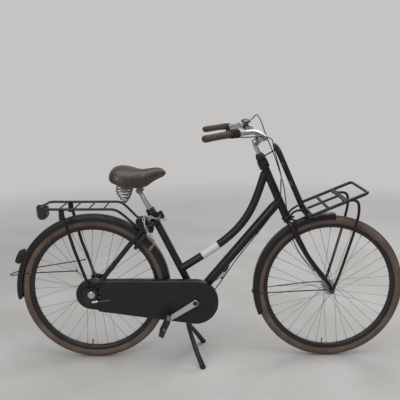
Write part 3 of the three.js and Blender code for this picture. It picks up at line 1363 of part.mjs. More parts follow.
// Front carrier
function makeCarrier() {
  const { half, top, low, corner, crossShares, crossWide } = backFrame;
  const rightTop = onHead(top, carrierOffset, half);
  const rightLow = onHead(low, carrierOffset, half);
  const legs = [rightLow, rightTop, ...mirror([rightLow, rightTop]).reverse()];
  const hoop = tube(bent(legs, corner), carrierTube, legSides);
  const crosses = crossShares.map((share) => {
    const seat = onHead(top + (low - top) * share, carrierOffset);
    return box(seat, [crossWide * (1 + share), half * 2, carrierTube], 90 + (90 - headAngle));
  });
  const foot = bar(carrierTube, -half, half, onHead(low, carrierOffset), left, legSides);
  const { radius, start, end, dome, neck } = lockPlate;
  const ring = turned(closed([[steererRadius + touchGap, start], [radius, start], [radius, end], [neck, dome],
    [steererRadius + touchGap, dome]]), headFoot, headUp);
  const linkStart = onHead((start + end) / 2, neck);
  const linkEnd = onHead(carrierLink.reach, carrierOffset, half);
  const link = tube([linkStart, linkEnd], carrierLink.radius, rodSides);
  const hooks = [-1, 1].map((side) => {
    const root = onHead(carrierHook.reach, carrierOffset, side * half);
    const line = smooth([root, ...frontRoute(carrierHookRoute, side)], hookSteps);
    return tube(line, carrierHook.radius, rodSides);
  });
  add('carrier_back_frame', union(hoop, ...crosses, foot, ring, link, ...hooks), black);
}

function makePlatform() {
  const [rear, front] = frontRoute([platformRear, platformFront]);
  const rail = [rear.clone().lerp(front, platformRailShare), front];
  const loop = [...rail, ...mirror(rail).reverse()];
  const rails = tube(bent(loop, platformCorner), carrierTube, legSides);
  const width = platformRear[1];
  const rearBar = bar(carrierTube, -width, width, rear.clone().setY(0), left, legSides);
  const pieces = [rails, rearBar];
  platformRodShares.forEach((share, i) => {
    const seat = rear.clone().lerp(front, share).setY(0);
    pieces.push(box(seat, [platformRodWidths[i] * 2, width * 2, carrierTube], platformSlope()));
  });
  const midStart = rear.clone().setY(0);
  const midEnd = rear.clone().lerp(front, platformRodShares[1]).setY(0);
  pieces.push(tube([midStart, midEnd], carrierTube * platformSpineShare, legSides));
  [-1, 1].forEach((side) => {
    pieces.push(tube(bent(frontRoute(carrierLegRoute, side), carrierLegBend), carrierLegRadius, legSides));
    const [near, far] = across(side, legEye.inner, legEye.inner + legEye.width);
    pieces.push(bar(legEye.radius, near, far, frontAxle, left, axleSegments));
  });
  const backFoot = onHead(backFrame.low, carrierOffset);
  const over = backFrame.half + cutOverrun;
  const room = bar(carrierTube + touchGap, -over, over, backFoot, left, tubeSides);
  const backLegs = [-1, 1].map((side) => tube([onHead(backFrame.low, carrierOffset, side * backFrame.half),
    onHead(backFrame.top, carrierOffset, side * backFrame.half)], carrierTube + touchGap, legSides));
  const axleRoom = bar(axleBore, -legEye.inner * 2, legEye.inner * 2, frontAxle, left, axleSegments);
  const nutRooms = [-1, 1].flatMap((side) => {
    const outer = across(side, legEye.inner + legEye.width, legEye.inner * 2);
    const inner = across(side, frontDropoutInner, legEye.inner);
    const radius = nutRadius + runningGap;
    return [outer, inner].map(([near, far]) => bar(radius, near, far, frontAxle, left, axleSegments));
  });
  add('carrier_platform', cut(union(...pieces), room, ...backLegs, axleRoom, ...nutRooms), black);
}

function platformSlope() {
  return Math.atan2(platformFront[2] - platformRear[2], platformFront[0] - platformRear[0]) / turn;
}

// Cables
function makeCable(name, points) {
  add(name, tube(bent(points, cableBend), cableRadius, wireSides), plastic);
}

function lowerShiftPoints() {
  const head = frontRoute(lowerShiftHeadRoute);
  const foot = route(lowerShiftRoute);
  const middle = head[head.length - 1].clone().lerp(foot[0], lowerShiftMiddle.share);
  middle.z += lowerShiftMiddle.lift;
  return [...head, middle, ...foot];
}

makeHeadTube();
makeTopTube();
makeDownTube();
makeSeatTube();
add('rear_triangle_right', rearTriangle(-1), black);
add('rear_triangle_left', rearTriangle(1), black);
makeSeatClamp();
makeChaincase();
makeDrivetrain();
makeCrank('crank_right', -1);
makeCrank('crank_left', 1);
makePedal('pedal_right', -1);
makePedal('pedal_left', 1);
makeWheel('rear', rearAxle, rearHub, spokePhase);
makeWheel('front', frontAxle, frontHub, spokePhase);
makeAxles();
makeGuard('rear_mudguard', rearAxle, rearGuard);
makeGuard('front_mudguard', frontAxle, frontGuard);
makeStayLoop('rear_mudguard_stay', route(rearGuardStayRoute), vector(rearGuardStayApex));
const [frontStayApex] = frontRoute([frontGuardStayApex]);
makeStayLoop('front_mudguard_stay', frontRoute(frontGuardStayRoute), frontStayApex);
makeRack();
makeLamps();
makeRingLock();
makeLockChain();
makeKickstand();
makeClickBox();
makeSeatPost();
makeSaddle();
makeFork();
makeStem();
makeBar();
makeGrips();
makeShifter();
makeBrakeLever();
makeBell();
makeCarrier();
makePlatform();
makeCable('brake_cable', frontRoute(brakeCableRoute));
makeCable('shift_cable_upper', frontRoute(upperShiftRoute));
makeCable('shift_cable_lower', lowerShiftPoints());

// The origin lies on the ground, halfway between the two ends of the bike
const frontEnd = wheelbase + tyreRadius;
const rearEnd = rearGuardStayApex[0] - stayWire;
bike.position.x = -(frontEnd + rearEnd) / 2;

const model = new THREE.Group();
model.add(bike);

export default model;
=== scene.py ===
# %% [markdown]
# # A Dutch city bike
# This lesson dresses a imported CAD bike. The CAD model is the fixed frame: it says where each piece is and how
# it moves, and Blender gives each piece its smooth form and its finish. The frame is loaded first. The dressed
# bike has to fit the same box.

# %% Load the frame
import math
import bmesh
import bpy
from mathutils import Matrix, Quaternion, Vector
from mathutils.bvhtree import BVHTree


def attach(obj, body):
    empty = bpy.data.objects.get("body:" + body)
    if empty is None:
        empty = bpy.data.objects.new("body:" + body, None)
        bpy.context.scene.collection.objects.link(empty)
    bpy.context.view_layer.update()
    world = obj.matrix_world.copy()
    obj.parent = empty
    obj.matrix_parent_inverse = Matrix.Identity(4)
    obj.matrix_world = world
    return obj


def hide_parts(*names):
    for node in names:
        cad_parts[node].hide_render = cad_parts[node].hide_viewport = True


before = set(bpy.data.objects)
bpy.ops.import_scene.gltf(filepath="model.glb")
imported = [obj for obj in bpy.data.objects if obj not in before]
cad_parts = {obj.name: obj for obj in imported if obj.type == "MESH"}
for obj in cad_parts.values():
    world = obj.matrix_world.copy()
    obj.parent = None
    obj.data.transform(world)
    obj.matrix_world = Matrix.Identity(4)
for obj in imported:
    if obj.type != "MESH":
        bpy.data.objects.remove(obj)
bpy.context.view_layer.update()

# %% [markdown]
# A bike builder counts in millimetres, from the rear axle forward, from the middle plane to the rider's left
# and from the ground up. Blender counts in metres from the middle of the bike. All places below are the
# builder's, and one function turns them into Blender's when a mesh is made.

# %% Places on the bike
ROW_MIDDLE = 543.6
REAR_AXLE = Vector((0, 0, 358))
FRONT_AXLE = Vector((1150, 0, 358))
BRACKET = Vector((497, 0, 312))
STAND_PIVOT = Vector((462, 0, 222))
HEAD_ANGLE = math.radians(66.5)
SEAT_ANGLE = math.radians(64.3)
FORK_OFFSET = 55
CRANK_LENGTH = 170
LEFT = Vector((0, 1, 0))
UP = Vector((0, 0, 1))
FORWARD = Vector((1, 0, 0))
HEAD_UP = Vector((-math.cos(HEAD_ANGLE), 0, math.sin(HEAD_ANGLE)))
HEAD_AHEAD = Vector((math.sin(HEAD_ANGLE), 0, math.cos(HEAD_ANGLE)))
HEAD_FOOT = FRONT_AXLE - FORK_OFFSET * HEAD_AHEAD
SEAT_UP = Vector((-math.cos(SEAT_ANGLE), 0, math.sin(SEAT_ANGLE)))


def in_metres(place):
    return Vector((place.x - ROW_MIDDLE, place.y, place.z)) / 1000


def on_head(reach, ahead=0, side=0):
    return HEAD_FOOT + reach * HEAD_UP + ahead * HEAD_AHEAD + side * LEFT


def on_seat(reach):
    return BRACKET + reach * SEAT_UP


def route(points, side=1):
    return [Vector((x, side * y, z)) for x, y, z in points]


def mirrored(line):
    return [Vector((p.x, -p.y, p.z)) for p in line]


def around(centre, radius, degrees, side=0):
    angle = math.radians(degrees)
    return Vector((centre.x + radius * math.cos(angle), side, centre.z + radius * math.sin(angle)))


print("head foot", [round(c, 1) for c in HEAD_FOOT])

# %% [markdown]
# The tubes come in a few sizes. Each radius is named once, and a weld is laid just outside the tube that
# carries it.

# %% Radii of the tubes
HEAD_RADIUS = 19
TOP_RADIUS = 19
DOWN_RADIUS = 22.5
SEAT_RADIUS = 17.5
SHELL_RADIUS = 20
CHAIN_STAY_RADIUS = 9
SEAT_STAY_RADIUS = 8.5
AXLE_RADIUS = 4.6
AXLE_HOLE = 5.3
CONE_RADIUS = 9
CARRIER_RADIUS = 7.4
WELD_LIFT = 0.2
print("axle play", round(AXLE_HOLE - AXLE_RADIUS, 1), "mm")

# %% [markdown]
# Two kinds of line make nearly every tube of the bike. A flowing line passes through all its points, as a
# bent handlebar does. A cornered line is straight between its corners, and each corner is rolled to a bend,
# as the racks are. The flowing line spaces its knots by the root of the distances, so it doesn't overshoot
# near short steps.

# %% Lines
KNOT_STEPS = 40
MOST_OF_A_SIDE = 0.48


def flowing(points, count):
    ends = [points[0] * 2 - points[1]] + list(points) + [points[-1] * 2 - points[-2]]
    fine = []
    for i in range(1, len(ends) - 2):
        before, start, stop, after = ends[i - 1:i + 3]
        t0 = max((start - before).length ** 0.5, 1e-4)
        t1 = max((stop - start).length ** 0.5, 1e-4)
        t2 = max((after - stop).length ** 0.5, 1e-4)
        leave = ((start - before) / t0 - (stop - before) / (t0 + t1) + (stop - start) / t1) * t1
        arrive = ((stop - start) / t1 - (after - start) / (t1 + t2) + (after - stop) / t2) * t1
        for k in range(KNOT_STEPS):
            s = k / KNOT_STEPS
            place = start * (2 * s**3 - 3 * s**2 + 1) + leave * (s**3 - 2 * s**2 + s)
            fine.append(place + stop * (3 * s**2 - 2 * s**3) + arrive * (s**3 - s**2))
    fine.append(points[-1].copy())
    return evenly(fine, count)


def evenly(line, count):
    lengths = [0.0]
    for a, b in zip(line, line[1:]):
        lengths.append(lengths[-1] + (b - a).length)
    spaced, at = [], 0
    for k in range(count + 1):
        goal = lengths[-1] * k / count
        while at < len(line) - 2 and lengths[at + 1] < goal:
            at += 1
        share = (goal - lengths[at]) / max(lengths[at + 1] - lengths[at], 1e-9)
        spaced.append(line[at].lerp(line[at + 1], min(max(share, 0), 1)))
    return spaced


def cornered(corners, reach, steps=8):
    line = [corners[0]]
    for before, corner, after in zip(corners, corners[1:], corners[2:]):
        near, far = (corner - before).length, (after - corner).length
        bend = min(reach, MOST_OF_A_SIDE * near, MOST_OF_A_SIDE * far)
        back = corner.lerp(before, bend / near)
        ahead = corner.lerp(after, bend / far)
        for k in range(steps + 1):
            s = k / steps
            line.append(back.lerp(corner, s).lerp(corner.lerp(ahead, s), s))
    return line + [corners[-1]]


print("a flowing line of 4 points, spaced to",
      len(flowing(route([(0, 0, 0), (9, 1, 0), (20, 0, 4), (30, 0, 0)]), 10)))

# %% [markdown]
# A piece of the bike is often a few bars, plates and turned parts that are welded together, so it is made as
# one mesh. This small workshop collects them: bar sweeps a circle along a line, turned spins a profile around
# an axis, plate gives an outline a thickness and breaks its edges with a bevel, and skin joins rings of
# points. keep makes the object, gives it a finish and says which body it rides on and which CAD nodes it
# stands for. cut_away takes rooms out of a piece, and a room is a rod, a tube or a block in the shape of what
# has to fit.

# %% A workshop for pieces
FINISHES = {}
BLUNT_SHARE = 0.12
BEVEL_FROM = math.radians(38)
SHARP_FROM = math.radians(42)
WELD_DISTANCE = 0.00002


def turns(sides, offset=0.0):
    return [2 * math.pi * (k + offset) / sides for k in range(sides)]


def across(side, near, far):
    return sorted((side * near, side * far))


class Piece:
    def __init__(self):
        self.corners, self.faces, self.kinds = [], [], []

    def add(self, corners, faces, kind=0):
        start = len(self.corners)
        self.corners += corners
        self.faces += [[start + i for i in face] for face in faces]
        self.kinds += [kind] * len(faces)

    def skin(self, rings, kind=0, loop=False, caps=True, open_rings=False):
        count = len(rings[0])
        corners = [p for ring in rings for p in ring]
        faces = []
        for r in range(len(rings) if loop else len(rings) - 1):
            low, high = r * count, ((r + 1) % len(rings)) * count
            for i in range(count - 1 if open_rings else count):
                j = (i + 1) % count
                faces.append([low + i, low + j, high + j, high + i])
        if caps and not loop:
            faces.append(list(range(count))[::-1])
            faces.append([len(corners) - count + i for i in range(count)])
        self.add(corners, faces, kind)

    def bar(self, line, radius, kind=0, sides=None, flat=1, turned_to=None, blunt=True):
        line = [p.copy() for p in line]
        radii = list(radius) if hasattr(radius, "__len__") else [radius] * len(line)
        if blunt:
            edge = BLUNT_SHARE * min(radii[0], radii[-1])
            for spot, toward in ((0, 1), (-1, -2)):
                step = (line[toward] - line[spot]).normalized() * edge
                line.insert(1 if spot == 0 else len(line) - 1, line[spot] + step)
            radii = [radii[0] - edge] + radii + [radii[-1] - edge]
        sides = sides or int(10 + 0.9 * max(radii))
        steps = [(b - a).normalized() for a, b in zip(line, line[1:])]
        side = turned_to or (FORWARD if abs(steps[0].y) > 0.8 else LEFT)
        rings = []
        for i, place in enumerate(line):
            along = (steps[max(i - 1, 0)] + steps[min(i, len(steps) - 1)]).normalized()
            side = (side - along * side.dot(along)).normalized()
            over = along.cross(side)
            size = radii[i]
            rings.append([place + side * size * math.cos(t) + over * size * flat * math.sin(t)
                          for t in turns(sides, 0.5)])
        self.skin(rings, kind)

    def turned(self, profile, centre, axis, kind=0, sides=48, closed=False):
        side = axis.orthogonal().normalized()
        over = axis.cross(side)
        rings = [[centre + axis * h + (side * math.cos(t) + over * math.sin(t)) * max(r,
                0.01) for t in turns(sides)]
                 for r, h in profile]
        self.skin(rings, kind, loop=closed)

    def rod(self, radius, start, end, centre, axis, kind=0, sides=32, edge=0.8):
        profile = [(radius - edge, start), (radius, start + edge), (radius, end - edge), (radius - edge, end)]
        self.turned(profile, centre, axis, kind, sides)

    def plate(self, outline, near, far, edge=0.8, kind=0, spread=None, rounds=2):
        side, over, through = spread or (FORWARD, UP, LEFT)
        mesh = bmesh.new()
        low = [mesh.verts.new(side * u + over * v + through * near) for u, v in outline]
        high = [mesh.verts.new(side * u + over * v + through * far) for u, v in outline]
        mesh.faces.new(low[::-1])
        mesh.faces.new(high)
        for i in range(len(low)):
            j = (i + 1) % len(low)
            mesh.faces.new([low[i], low[j], high[j], high[i]])
        bmesh.ops.recalc_face_normals(mesh, faces=mesh.faces[:])
        if edge:
            sharp = [e for e in mesh.edges if e.calc_face_angle(0) > BEVEL_FROM]
            bmesh.ops.bevel(mesh, geom=sharp, offset=edge, segments=rounds, affect="EDGES",
                            clamp_overlap=True)
        mesh.verts.index_update()
        self.add([v.co.copy() for v in mesh.verts], [[v.index for v in f.verts] for f in mesh.faces], kind)
        mesh.free()

    def block(self, centre, size, lean=0, edge=0.8, kind=0, rounds=2):
        turn = Matrix.Rotation(-math.radians(lean), 3, "Y")
        axes = [turn @ FORWARD, turn @ UP, LEFT]
        place = [centre.dot(axis) for axis in axes]
        u, v = size[0] / 2, size[2] / 2
        outline = [(place[0] + a * u, place[1] + b * v) for a, b in ((-1, -1), (1, -1), (1, 1), (-1, 1))]
        self.plate(outline, place[2] - size[1] / 2, place[2] + size[1] / 2, edge, kind, axes, rounds)

    def mesh(self, name):
        mesh = bpy.data.meshes.new(name)
        mesh.from_pydata([in_metres(p) for p in self.corners], [], self.faces)
        mesh.polygons.foreach_set("material_index", self.kinds)
        tidy = bmesh.new()
        tidy.from_mesh(mesh)
        bmesh.ops.remove_doubles(tidy, verts=tidy.verts[:], dist=WELD_DISTANCE)
        bmesh.ops.recalc_face_normals(tidy, faces=tidy.faces[:])
        tidy.to_mesh(mesh)
        tidy.free()
        return mesh

    def keep(self, name, finish, body, *stands_for):
        obj = bpy.data.objects.new(name, self.mesh(name))
        bpy.context.scene.collection.objects.link(obj)
        return dress(obj, finish, body, *stands_for)


def dress(obj, finish, body, *stands_for):
    names = [finish] if isinstance(finish, str) else list(finish)
    for one in names:
        obj.data.materials.append(FINISHES[one][0])
    obj.data.shade_smooth()
    obj.data.set_sharp_from_angle(angle=SHARP_FROM)
    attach(obj, body)
    if stands_for:
        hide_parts(*stands_for)
    print(obj.name, len(obj.data.polygons), "faces, rides on", body)
    return obj


def cut_away(obj, *cutters):
    for cutter in cutters:
        tool = bpy.data.objects.new("cutter", cutter.mesh("cutter"))
        bpy.context.scene.collection.objects.link(tool)
        step = obj.modifiers.new("cut", "BOOLEAN")
        step.operation, step.solver, step.object = "DIFFERENCE", "EXACT", tool
        step.use_self = True
        bpy.context.view_layer.update()
        shape = obj.evaluated_get(bpy.context.evaluated_depsgraph_get())
        cut = bpy.data.meshes.new_from_object(shape)
        obj.modifiers.clear()
        obj.data = cut
        bpy.data.objects.remove(tool)
    cut.shade_smooth()
    cut.set_sharp_from_angle(angle=SHARP_FROM)


def rod_room(radius, start, end, centre, axis=LEFT, sides=32):
    room = Piece()
    room.rod(radius, start, end, centre, axis, sides=sides, edge=0)
    return room


def tube_room(radius, *lines):
    room = Piece()
    for line in lines:
        room.bar(line, radius, sides=20)
    return room


def block_room(outline, near=-120, far=20):
    room = Piece()
    room.plate(outline, near, far, edge=0)
    return room


print("the workshop is ready")

# %% [markdown]
# ## Finishes
# Nothing on a used bike is one flat colour. Three effects come back on nearly every piece, so each is a node
# group with named inputs. Road dust lies in soft patches, and more of it on surfaces that look up. Fine
# scratches show a paler layer under the paint. Grain is the small unevenness that breaks a highlight. A group
# only hands over colours and values. The shader stays in each material.

# %% Node group helper
def node_group(name, inputs, outputs):
    tree = bpy.data.node_groups.new(name, "ShaderNodeTree")
    for title, kind, value in inputs:
        socket = tree.interface.new_socket(title, in_out="INPUT", socket_type="NodeSocket" + kind)
        socket.default_value = value
    for title, kind in outputs:
        tree.interface.new_socket(title, in_out="OUTPUT", socket_type="NodeSocket" + kind)
    return tree, tree.nodes.new("NodeGroupInput").outputs, tree.nodes.new("NodeGroupOutput").inputs


def give(tree, socket, value):
    if isinstance(value, bpy.types.NodeSocket):
        tree.links.new(value, socket)
    else:
        socket.default_value = value


def node(tree, kind, operation=None, **sockets):
    made = tree.nodes.new("ShaderNode" + kind)
    if operation:
        made.operation = operation
    for key, value in sockets.items():
        socket = made.inputs[int(key[1:])] if key[1:].isdigit() else made.inputs[key.replace("_", " ")]
        give(tree, socket, value)
    return made


def mixed(tree, share, plain, other):
    made = tree.nodes.new("ShaderNodeMix")
    made.data_type = "RGBA"
    for socket, value in ((made.inputs[0], share), (made.inputs[6], plain), (made.inputs[7], other)):
        give(tree, socket, value)
    return made.outputs[2]


print("helpers for node groups are ready")

# %% Road dust
dust_tree, given, wanted = node_group(
    "road_dust",
    [("Colour", "Color", (0.02, 0.02, 0.02, 1)), ("Dust", "Color", (0.3, 0.26, 0.22, 1)),
     ("Amount", "Float", 0.3),
     ("Patch Scale", "Float", 9.0)],
    [("Colour", "Color"), ("Mask", "Float")])
places = node(dust_tree, "TexCoord")
patches = node(dust_tree, "TexNoise", Vector=places.outputs["Object"], Scale=given["Patch Scale"], Detail=5.0)
patches.inputs["Roughness"].default_value = 0.62
split = node(dust_tree, "SeparateXYZ", Vector=places.outputs["Normal"])
facing_up = node(dust_tree, "MapRange", i0=split.outputs["Z"], i1=-0.4, i2=1.0, i3=0.35, i4=1.0)
soft = node(dust_tree, "MapRange", i0=patches.outputs[0], i1=0.38, i2=0.72, i3=0.0, i4=1.0)
lying = node(dust_tree, "Math", "MULTIPLY", i0=facing_up.outputs[0], i1=soft.outputs[0])
amount = node(dust_tree, "Math", "MULTIPLY", i0=lying.outputs[0], i1=given["Amount"])
dust_tree.links.new(amount.outputs[0], wanted["Mask"])
dust_tree.links.new(mixed(dust_tree, amount.outputs[0], given["Colour"], given["Dust"]), wanted["Colour"])
print("road_dust has", len(dust_tree.nodes), "nodes")

# %% Fine scratches
scratch_tree, given, wanted = node_group(
    "fine_scratches",
    [("Colour", "Color", (0.02, 0.02, 0.02, 1)), ("Bare", "Color", (0.2, 0.2, 0.2, 1)),
     ("Amount", "Float", 0.5),
     ("Scale", "Float", 30.0)],
    [("Colour", "Color"), ("Mask", "Float")])
places = node(scratch_tree, "TexCoord")
bent = node(scratch_tree, "TexNoise", Vector=places.outputs["Object"], Scale=6.0, Detail=2.0)
warp = node(scratch_tree, "VectorMath", "ADD", i0=places.outputs["Object"], i1=bent.outputs["Color"])
stretched = node(scratch_tree, "Mapping", Vector=warp.outputs[0], Scale=(1.0, 1.0, 0.16))
lines = node(scratch_tree, "TexVoronoi", Vector=stretched.outputs[0], Scale=given["Scale"])
lines.feature = "DISTANCE_TO_EDGE"
thin = node(scratch_tree, "MapRange", i0=lines.outputs["Distance"], i1=0.0, i2=0.014, i3=1.0, i4=0.0)
patchy = node(scratch_tree, "TexNoise", Vector=places.outputs["Object"], Scale=11.0, Detail=3.0)
some = node(scratch_tree, "MapRange", i0=patchy.outputs[0], i1=0.55, i2=0.7, i3=0.0, i4=1.0)
both = node(scratch_tree, "Math", "MULTIPLY", i0=thin.outputs[0], i1=some.outputs[0])
mask = node(scratch_tree, "Math", "MULTIPLY", i0=both.outputs[0], i1=given["Amount"])
scratch_tree.links.new(mask.outputs[0], wanted["Mask"])
scratch_tree.links.new(mixed(scratch_tree, mask.outputs[0], given["Colour"], given["Bare"]), wanted["Colour"])
print("fine_scratches has", len(scratch_tree.nodes), "nodes")

# %% Grain
grain_tree, given, wanted = node_group(
    "grain",
    [("Scale", "Float", 600.0), ("Stretch", "Vector", (1.0, 1.0, 1.0)), ("Low Roughness", "Float", 0.3),
     ("High Roughness", "Float", 0.5)],
    [("Height", "Float"), ("Roughness", "Float")])
places = node(grain_tree, "TexCoord")
scaled = node(grain_tree, "VectorMath", "MULTIPLY", i0=places.outputs["Object"], i1=given["Stretch"])
fine = node(grain_tree, "TexNoise", Vector=scaled.outputs[0], Scale=given["Scale"], Detail=3.0)
broad = node(grain_tree, "TexNoise", Vector=scaled.outputs[0], Scale=24.0, Detail=4.0)
rough = node(grain_tree, "MapRange", i0=broad.outputs[0], i1=0.35, i2=0.65, i3=given["Low Roughness"],
             i4=given["High Roughness"])
grain_tree.links.new(fine.outputs[0], wanted["Height"])
grain_tree.links.new(rough.outputs[0], wanted["Roughness"])
print("grain has", len(grain_tree.nodes), "nodes")

# %% [markdown]
# A finish is a material that puts these groups in front of one shader. The frame's black is a satin powder
# coat with a little dust. Polished aluminium, zinc and hardened steel are metals that differ in grain. Rubber
# and plastic are dull, and each keeps its own dust.

# %% One function for a plain finish
def placed(tree, group, **sockets):
    made = tree.nodes.new("ShaderNodeGroup")
    made.node_tree = group
    for key, value in sockets.items():
        give(tree, made.inputs[key.replace("_", " ")], value)
    return made


def colour(red, green, blue):
    return (red, green, blue, 1)


def finish(name, slot, base, dust, dust_amount, rough, metallic=0.0, bare=None, bare_amount=0.0, grain=600.0,
           depth=0.1, stretch=(1, 1, 1), coat=0.0, specular=0.5):
    material = bpy.data.materials.new(name)
    material.use_nodes = True
    tree = material.node_tree
    shader = tree.nodes["Principled BSDF"]
    shader.inputs["Metallic"].default_value = metallic
    shader.inputs["Specular IOR Level"].default_value = specular
    shader.inputs["Coat Weight"].default_value = coat
    shader.inputs["Coat Roughness"].default_value = 0.25
    worn = placed(tree, scratch_tree, Colour=colour(*base), Bare=colour(*(bare or base)), Amount=bare_amount)
    dusty = placed(tree, dust_tree, Colour=worn.outputs["Colour"], Dust=colour(*dust), Amount=dust_amount)
    surface = placed(tree, grain_tree, Scale=grain, Stretch=stretch, Low_Roughness=rough[0],
                     High_Roughness=rough[1])
    bump = node(tree, "Bump", Height=surface.outputs["Height"], Strength=depth)
    bump.inputs["Distance"].default_value = 0.0004
    tree.links.new(dusty.outputs["Colour"], shader.inputs["Base Color"])
    tree.links.new(surface.outputs["Roughness"], shader.inputs["Roughness"])
    tree.links.new(bump.outputs[0], shader.inputs["Normal"])
    FINISHES[name] = (material, slot)
    return tree, shader, dusty, surface, bump


DUST = (0.22, 0.19, 0.16)
finish("powder_black", "frame_black", (0.0062, 0.006, 0.0062), DUST, 0.035, (0.3, 0.44),
       bare=(0.06, 0.06, 0.06),
       bare_amount=0.4, grain=900, depth=0.12, specular=0.42)
finish("polished_aluminium", "aluminium", (0.62, 0.62, 0.63), DUST, 0.12, (0.2, 0.36), metallic=1.0,
       bare=(0.4, 0.4, 0.41), bare_amount=0.4, grain=500, depth=0.05, stretch=(1, 1, 6))
finish("dull_aluminium", "aluminium", (0.42, 0.42, 0.43), DUST, 0.25, (0.34, 0.5), metallic=1.0, grain=700,
       depth=0.1)
finish("spoke_steel", "aluminium", (0.36, 0.36, 0.36), DUST, 0.25, (0.3, 0.45), metallic=1.0, grain=700,
       depth=0.05)
finish("zinc_links", "aluminium", (0.55, 0.54, 0.53), (0.25, 0.2, 0.16), 0.3, (0.3, 0.46), metallic=1.0,
       grain=600,
       depth=0.1)
finish("hard_steel", "dark_steel", (0.2, 0.2, 0.205), (0.16, 0.12, 0.1), 0.35, (0.34, 0.5), metallic=1.0,
       bare=(0.45, 0.45, 0.45), bare_amount=0.5, grain=800, depth=0.1)
finish("spring_steel", "dark_steel", (0.34, 0.34, 0.34), (0.16, 0.12, 0.1), 0.3, (0.28, 0.42), metallic=1.0,
       grain=800, depth=0.05)
finish("dull_rubber", "black_rubber", (0.012, 0.0115, 0.011), DUST, 0.12, (0.72, 0.9), grain=1400, depth=0.5)
finish("satin_plastic", "black_plastic", (0.01, 0.01, 0.0105), DUST, 0.06, (0.4, 0.55), grain=1800,
       depth=0.35)
finish("rim_black", "frame_black", (0.009, 0.0085, 0.0085), DUST, 0.1, (0.38, 0.52), grain=900, depth=0.1)
print(len(FINISHES), "plain finishes")

# %% [markdown]
# The tyres are brown rubber. Their sides are smooth and carry most of the dust, and the running face has fine
# cuts that slant away from the middle. The cuts are coloured darker as painted shade, and a dark band just
# outside the rim is painted shade where tyre and rim meet. The cuts follow the wheel, so they are drawn from
# the angle around its axle, which the arctangent of the two distances from the axle gives.

# %% Brown tyre
def tyre_finish(name, axle):
    tree, shader, dusty, surface, bump = finish(
        name, "brown_tyre", (0.1, 0.062, 0.048), (0.3, 0.235, 0.19), 0.62, (0.62, 0.82), grain=1200,
        depth=0.35)
    centre = in_metres(axle)
    spot = node(tree, "TexCoord").outputs["Object"]
    split = node(tree, "SeparateXYZ", Vector=spot).outputs
    ahead = node(tree, "Math", "SUBTRACT", i0=split["X"], i1=centre.x).outputs[0]
    above = node(tree, "Math", "SUBTRACT", i0=split["Z"], i1=centre.z).outputs[0]
    angle = node(tree, "Math", "ARCTAN2", i0=above, i1=ahead).outputs[0]
    aside = node(tree, "Math", "ABSOLUTE", i0=split["Y"]).outputs[0]
    slant = node(tree, "Math", "MULTIPLY_ADD", i0=angle, i1=54.0, i2=0.0).outputs[0]
    slanted = node(tree, "Math", "MULTIPLY_ADD", i0=aside, i1=150.0, i2=slant).outputs[0]
    wave = node(tree, "Math", "FRACT", i0=slanted).outputs[0]
    cut = node(tree, "Math", "LESS_THAN", i0=wave, i1=0.16).outputs[0]
    reach = node(tree, "VectorMath", "LENGTH").inputs[0]
    flat = node(tree, "CombineXYZ", X=ahead, Y=0.0, Z=above).outputs[0]
    tree.links.new(flat, reach)
    far = node(tree, "Math", "GREATER_THAN", i0=reach.node.outputs["Value"], i1=0.3505).outputs[0]
    treads = node(tree, "Math", "MULTIPLY", i0=cut, i1=far).outputs[0]
    running = node(tree, "MapRange", i0=reach.node.outputs["Value"], i1=0.349, i2=0.3545, i3=0.0,
                   i4=0.72).outputs[0]
    dark = mixed(tree, running, dusty.outputs["Colour"], colour(0.034, 0.023, 0.019))
    # The cuts are coloured darker than the running face: painted shade in the cuts.
    deep = mixed(tree, treads, dark, colour(0.02, 0.014, 0.012))
    # A dark band just outside the rim that fades out over 4 mm: painted shade where the tyre meets the rim.
    rim_seam_shade = node(tree, "MapRange", i0=reach.node.outputs["Value"], i1=0.3185, i2=0.3225, i3=0.75,
                i4=0.0).outputs[0]
    tree.links.new(mixed(tree, rim_seam_shade, deep, colour(0.02, 0.015, 0.013)), shader.inputs["Base Color"])
    height = node(tree, "Math", "SUBTRACT", i0=surface.outputs["Height"], i1=treads).outputs[0]
    tree.links.new(height, bump.inputs["Height"])
    bump.inputs["Distance"].default_value = 0.0009


tyre_finish("rear_tyre_brown", REAR_AXLE)
tyre_finish("front_tyre_brown", FRONT_AXLE)
print("tyre finishes use", len(FINISHES["rear_tyre_brown"][0].node_tree.nodes), "nodes")

# %% [markdown]
# Saddle leather is cell-like under a lens: small cushions of skin between thin folds. A cell pattern gives the
# folds, which are coloured darker as painted shade, a broad noise gives paler patches that are partly rubbed
# places and partly painted highlight, and the coat adds the wax. Grips are pressed from rubber with the same
# cells at a smaller scale.

